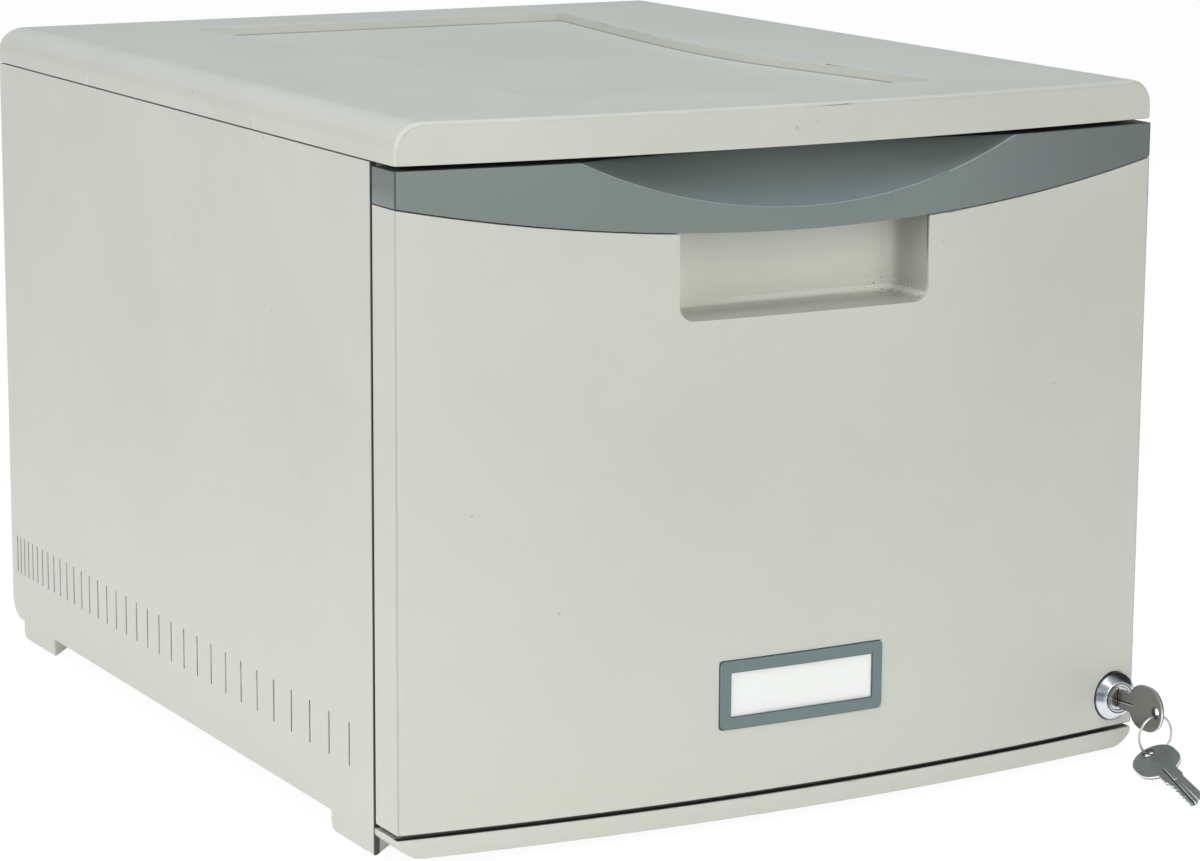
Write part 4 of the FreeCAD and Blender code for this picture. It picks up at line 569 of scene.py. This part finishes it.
def band_marks(paint, tone, shine):
    """The scoop with painted shade under the lid, painted sky light below and a painted rim
    highlight, and painted shade on the arrises and the right end.
    """
    across, height, sunk = paint.along("X"), paint.along("Z"), sunk_below_bow(paint)
    scoop = sunk.over(*SCOOP_SUNK)
    # Painted shade on the scoop's upper part, under the lid.
    tone = paint.stain(tone, scoop * height.over(*SCOOP_UPPER), 0.42, BAND_SHADE)
    # Painted sky light on the scoop's lower, upward-facing part.
    tone = paint.stain(tone, scoop * height.under(*SCOOP_LOWER), 0.6, BAND_SKY_LIGHT)
    # Painted highlight on the scoop's rim.
    rim = sunk.within(*SCOOP_RIM) * abs(across).within(0, SCOOP_RIM_HALF, soft=0.02)
    tone = paint.stain(tone, rim, 0.8, BAND_RIM_HIGHLIGHT)
    # Painted shade on the band's corner arrises.
    arris = abs(across).over(*ARRIS_ACROSS) * sunk.under(*ARRIS_SUNK)
    tone = paint.stain(tone, arris, 0.8, BAND_ARRIS_SHADE)
    # Painted shade toward the band's right end.
    return paint.stain(tone, across.over(*SHADED_SIDE), 0.42, BAND_SHADE), shine


band = moulded("band_plastic", BAND, rough=0.36, marks=band_marks)
piece_from("handle_band", "drawer", band, rounding=0.0003,
           slices=STRIPS + (("Z", 0.003),), follow=(on_bow, on_scoop))

# Label frame and card: a smooth moulded frame in blue grey, pressed into its seat in the drawer
# front over a slip of white card.
LABEL_PROUD, LABEL_RIM, WINDOW_SLACK = 0.0008, 0.0053, 0.0002
WINDOW_HALF = LABEL_HALF - LABEL_RIM + WINDOW_SLACK
WINDOW_LOW = LABEL_LOW + LABEL_RIM - WINDOW_SLACK
WINDOW_HIGH = LABEL_HIGH - LABEL_RIM + WINDOW_SLACK
FRAME, WINDOW_DARK = (0.160, 0.215, 0.225), (0.03, 0.04, 0.04, 1)
CARD_SHADE, CARD_WHITE, CARD_ROUGH = (0.97, 0.97, 0.98, 1), (1.0, 1.0, 1.0, 1), 0.85


def on_label(spot):
    """The spot moved onto the label frame's bowed face, if it lies near it."""
    radius = BOW_RADIUS + LABEL_PROUD
    near = abs(math.hypot(spot.x, spot.y - BOW_MIDDLE) - radius) < NEAR_FORM
    return on_round(spot, radius) if near else None


def window_marks(paint, tone, shine):
    """Shade in the joint between the window's edges and the card."""
    window = abs(paint.along("X")).within(0, WINDOW_HALF) * paint.along("Z").within(
        WINDOW_LOW, WINDOW_HIGH)
    return paint.stain(tone, window, 0.75, WINDOW_DARK), shine


frame_plastic = moulded("frame_plastic", FRAME, grain=2600, depth=0.00001, rough=0.36,
                        marks=window_marks)
piece_from("label_frame", "drawer", frame_plastic, rounding=0.0003, segments=3,
           slices=STRIPS, follow=(on_label,))
paint = Paint("card_paper")
fibre = paint.noise(900, detail=5, stretch=(1, 1, 0.3))
card_paper = paint.finish(paint.node("BsdfPrincipled", inputs={
    "Base Color": paint.blend(fibre, CARD_SHADE, CARD_WHITE), "Roughness": CARD_ROUGH,
    "Normal": paint.bump(fibre, depth=0.00002)}))
piece_from("label_card", "drawer", card_paper, rounding=0)

# Inner drawer: the liner that closes the front shell and the tub that holds the files, both plain
# mouldings, a shade darker than the shell.
TUB = (0.5, 0.51, 0.475)
tub = moulded("tub_plastic", TUB, rough=0.5)
piece_from("front_liner", "drawer", tub, rounding=0.0004)
piece_from("drawer_tub", "drawer", tub, rounding=0.0008)

# Steel parts: folded runners and rails, drawn rods and turned axles, with the lock's nut and cam,
# all zinc plated, with faint streaks along their length.
ZINC, CLOUD_SHADE, STREAK_SHINE, CLOUD_SHINE = (0.62, 0.63, 0.64), 0.85, 0.15, 0.1


def metal(name, colour, rough, streak, scratch=0.000012, marks=None):
    """Plated metal with streaks along Y, clouds and fine scratches."""
    paint = Paint(name)
    streaks = paint.noise(streak, detail=4, stretch=(1, 0.05, 1))
    clouds = paint.noise(60)
    tone = paint.blend(clouds, shaded(colour, CLOUD_SHADE), shaded(colour, 1))
    if marks:
        tone = marks(paint, tone)
    shine = rough + (streaks - 0.5) * STREAK_SHINE + (clouds - 0.5) * CLOUD_SHINE
    return paint.finish(paint.node("BsdfPrincipled", inputs={
        "Base Color": tone, "Metallic": 1.0, "Roughness": shine,
        "Normal": paint.bump(streaks, scratch)}))


zinc = metal("zinc_steel_paint", ZINC, rough=0.35, streak=900)
for node, body, rounding in (
        ("left_runner", "cabinet", 0.0003), ("right_runner", "cabinet", 0.0003),
        ("front_left_axle", "cabinet", 0.0001), ("front_right_axle", "cabinet", 0.0001),
        ("left_file_rail", "drawer", 0.0004), ("right_file_rail", "drawer", 0.0004),
        ("left_drawer_rail", "drawer", 0.0003), ("right_drawer_rail", "drawer", 0.0003),
        ("rear_left_axle", "drawer", 0.0001), ("rear_right_axle", "drawer", 0.0001),
        ("lock_nut", "drawer", 0.0003), ("lock_cam", "plug", 0.0002)):
    piece_from(node, body, zinc, rounding)

# Screws: zinc-plated steel with pan heads, cold-headed with a cross recess for the driver. They
# hold the cabinet and the drawer together from inside.
HEAD_RADIUS, HEAD_LEAST, HEAD_MOST = 0.0032, 0.9, 1.3
CROSS_REACH, CROSS_HALF, CROSS_DEPTH, CROSS_TAPER = 0.0019, 0.0004, 0.0007, 0.8


def cross_recess(form):
    """Sink a cross into the outer face of each screw head."""
    area = math.pi * HEAD_RADIUS ** 2
    heads = [face for face in form.faces
             if area * HEAD_LEAST < face.calc_area() < area * HEAD_MOST]
    for head in heads:
        normal = head.normal.copy()
        middle = head.calc_center_median()
        side = normal.orthogonal().normalized()
        other = normal.cross(side)
        rim = list(head.edges)
        form.faces.remove(head)
        corners = []
        for turn in range(4):
            angle = turn * math.pi / 2
            along = side * math.cos(angle) + other * math.sin(angle)
            over = normal.cross(along)
            corners += [along * CROSS_REACH - over * CROSS_HALF,
                        along * CROSS_REACH + over * CROSS_HALF, (along + over) * CROSS_HALF]
        top = [form.verts.new(middle + corner) for corner in corners]
        low = [form.verts.new(middle + corner * CROSS_TAPER - normal * CROSS_DEPTH)
               for corner in corners]
        cross = [form.edges.new((top[index - 1], top[index])) for index in range(len(top))]
        bmesh.ops.triangle_fill(form, edges=rim + cross, use_beauty=True, normal=normal)
        for index in range(len(top)):
            form.faces.new((top[index - 1], top[index], low[index], low[index - 1]))
        form.faces.new(low)
    bmesh.ops.recalc_face_normals(form, faces=form.faces)


for node, body in (("lid_screws", "cabinet"), ("back_screws", "cabinet"),
                   ("base_screws", "cabinet"), ("runner_screws", "cabinet"),
                   ("front_screws", "drawer"), ("band_screws", "drawer"),
                   ("rail_screws", "drawer"), ("cam_screw", "plug")):
    piece_from(node, body, zinc, rounding=0.00012, shape=cross_recess)

# Rollers: turned from hard off-white plastic. The front pair runs on axles in the cabinet, and the
# rear pair on axles in the drawer.
ROLLER = (0.78, 0.78, 0.75)
roller_plastic = moulded("roller_plastic", ROLLER, grain=3000, depth=0.000008, rough=0.3)
for end in ("front_left", "front_right", "rear_left", "rear_right"):
    piece_from(end + "_roller", end + "_wheel", roller_plastic, rounding=0.0002)

# Lock: a turned bezel and plug of polished chrome, held from behind by a nut. The bezel carries a
# painted dark reflection at its upper right, a painted blue reflection at its left and painted
# shade lines, and oil darkens the plug's face round the keyway.
LOCK_LOW, LOCK_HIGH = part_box("lock_housing")
LOCK_MIDDLE = (LOCK_LOW + LOCK_HIGH) / 2
LOCK_RADIUS = (LOCK_HIGH.x - LOCK_LOW.x) / 2
BEZEL, PLUG = (0.80, 0.83, 0.87), (0.72, 0.74, 0.77)
BEZEL_DARK_REFLECTION, BEZEL_BLUE_REFLECTION = (0.02, 0.02, 0.025, 1), (0.06, 0.12, 0.18, 1)
BEZEL_FACE, BEZEL_SHADE_LINE, OIL = (0.35, 0.36, 0.37, 1), (0.03, 0.03, 0.03, 1), (0.10, 0.085, 0.07, 1)
REFLECTION_RIGHT, REFLECTION_UP, REFLECTION_RANGE, DOME = 0.50, 0.87, (0.50, 0.80), (0.62, 0.72)
PATCH_LEFT, PATCH_MIDDLE, PATCH_HALF = (0.62, 0.80), 0.1, (0.10, 0.28)
FACE_END, FACE_LINE, OUTER_LINE, OIL_END = (0.60, 0.62), (0.60, 0.64), (0.955, 0.985), (0.30, 0.45)


def from_lock(paint):
    """How far right, up and out the point lies from the lock's axis, in radii of the bezel."""
    right = (paint.along("X") - LOCK_MIDDLE.x) / LOCK_RADIUS
    up = (paint.along("Z") - LOCK_MIDDLE.z) / LOCK_RADIUS
    return right, up, (right * right + up * up) ** 0.5


def bezel_marks(paint, tone):
    """A painted dark reflection on the dome's upper right, a painted blue reflection at its left, a
    duller face, and painted shade lines round the face and the outer rim.
    """
    right, up, reach = from_lock(paint)
    # Painted reflection: a dark arc on the dome's upper right.
    dark_reflection = (right * REFLECTION_RIGHT + up * REFLECTION_UP).over(*REFLECTION_RANGE) * reach.over(*DOME)
    tone = paint.stain(tone, dark_reflection, 0.9, BEZEL_DARK_REFLECTION)
    # Painted reflection: a dark blue area on the dome's left.
    blue_reflection = (right * -1.0).over(*PATCH_LEFT) * abs(up - PATCH_MIDDLE).under(*PATCH_HALF)
    tone = paint.stain(tone, blue_reflection, 0.75, BEZEL_BLUE_REFLECTION)
    tone = paint.stain(tone, reach.under(*FACE_END), 0.6, BEZEL_FACE)
    # Painted shade lines round the face and the outer rim.
    lines = reach.within(*FACE_LINE, soft=0.01) + reach.over(*OUTER_LINE) * 0.8
    return paint.blend(lines.at_most(0.9), tone, BEZEL_SHADE_LINE)


def plug_marks(paint, tone):
    """Oil and brass dust round the keyway."""
    return paint.stain(tone, from_lock(paint)[2].under(*OIL_END), 0.8, OIL)


bezel_chrome = metal("bezel_chrome", BEZEL, rough=0.20, streak=500, scratch=0.000004,
                     marks=bezel_marks)
plug_chrome = metal("plug_chrome", PLUG, rough=0.14, streak=500, scratch=0.000004,
                    marks=plug_marks)
piece_from("lock_housing", "drawer", bezel_chrome, rounding=0.0003, segments=3)
piece_from("lock_plug", "plug", plug_chrome, rounding=0.00015)

# Keys and ring: keys of stamped nickel-plated brass with a milled groove, painted highlights and
# shade on their edges and groove, and painted shade round the hole, and a ring of bright wire. One
# key sits in the lock, and the ring hangs the spare one from it.
BLADE_START, BLADE_HALF = (-0.004, -0.003), (0.0018, 0.0022)
EDGE_HIGHLIGHT, EDGE_NEAR, EDGE_FAR = (-0.0006, 0.0002), (0.00035, 0.0007), (-0.0008, -0.0007)
GROOVE, GROOVE_SHADE, HOLE_RIM = (-0.0004, -0.0002), (0.0001, 0.0006), (0.0026, 0.0030)
KEY, SPARE, WIRE = (0.33, 0.33, 0.32), (0.30, 0.33, 0.35), (0.66, 0.66, 0.66)
KEY_HIGHLIGHT, GROOVE_HIGHLIGHT = (0.95, 0.95, 0.93, 1), (0.97, 0.97, 0.95, 1)
KEY_SHADE, HOLE_SHADE = (0.02, 0.02, 0.02, 1), (0.03, 0.03, 0.03, 1)


def key_marks(middle, outward, along, across, hole):
    """Painted highlights and shade on the edges and the groove, and painted shade round the hole,
    for a flat key that faces outward.
    """
    def marks(paint, tone):
        depth = paint.toward(middle, outward)
        side = paint.toward(middle, across)
        blade = paint.toward(middle, along).under(*BLADE_START)
        edge = 1 - blade * abs(side).under(*BLADE_HALF)
        # Painted highlight on the edges.
        bright = depth.within(*EDGE_HIGHLIGHT) * edge
        tone = paint.stain(tone, bright, 0.95, KEY_HIGHLIGHT)
        # Painted shade beside the edges.
        dark = depth.within(*EDGE_NEAR) + depth.within(*EDGE_FAR, soft=0.00005) * 0.6
        tone = paint.stain(tone, dark * edge, 0.95, KEY_SHADE)
        # Painted highlight and shade along the groove.
        tone = paint.stain(tone, side.within(*GROOVE) * blade, 0.95, GROOVE_HIGHLIGHT)
        tone = paint.stain(tone, side.within(*GROOVE_SHADE) * blade, 0.95, KEY_SHADE)
        # Painted shade round the hole.
        first, second = paint.toward(hole, along), paint.toward(hole, across)
        hole_shading = ((first * first + second * second) ** 0.5).under(*HOLE_RIM)
        return paint.stain(tone, hole_shading, 0.85, HOLE_SHADE)
    return marks


key_nickel = metal("key_nickel_paint", KEY, rough=0.3, streak=1200, marks=key_marks(
    middle=(0.1755, -0.23976, 0.02838), outward=(1, 0, 0), along=(0, -0.9992, 0.0411),
    across=(0, 0.0411, 0.9992), hole=(0.1755, -0.2533, 0.0288)))
spare_nickel = metal("spare_nickel_paint", SPARE, rough=0.3, streak=1200, marks=key_marks(
    middle=(0.16871, -0.26648, 0.00775), outward=(0.4697, 0.0294, -0.8823),
    along=(0.236, 0.9589, 0.1576), across=(-0.8507, 0.2823, -0.4435),
    hole=(0.17182, -0.2533, 0.00984)))
ring_wire = metal("ring_wire", WIRE, rough=0.22, streak=1200)
piece_from("key", "key_in_lock", key_nickel, rounding=0.00025)
piece_from("spare_key", "spare", spare_nickel, rounding=0.00025)
piece_from("key_ring", "ring", ring_wire, rounding=0)
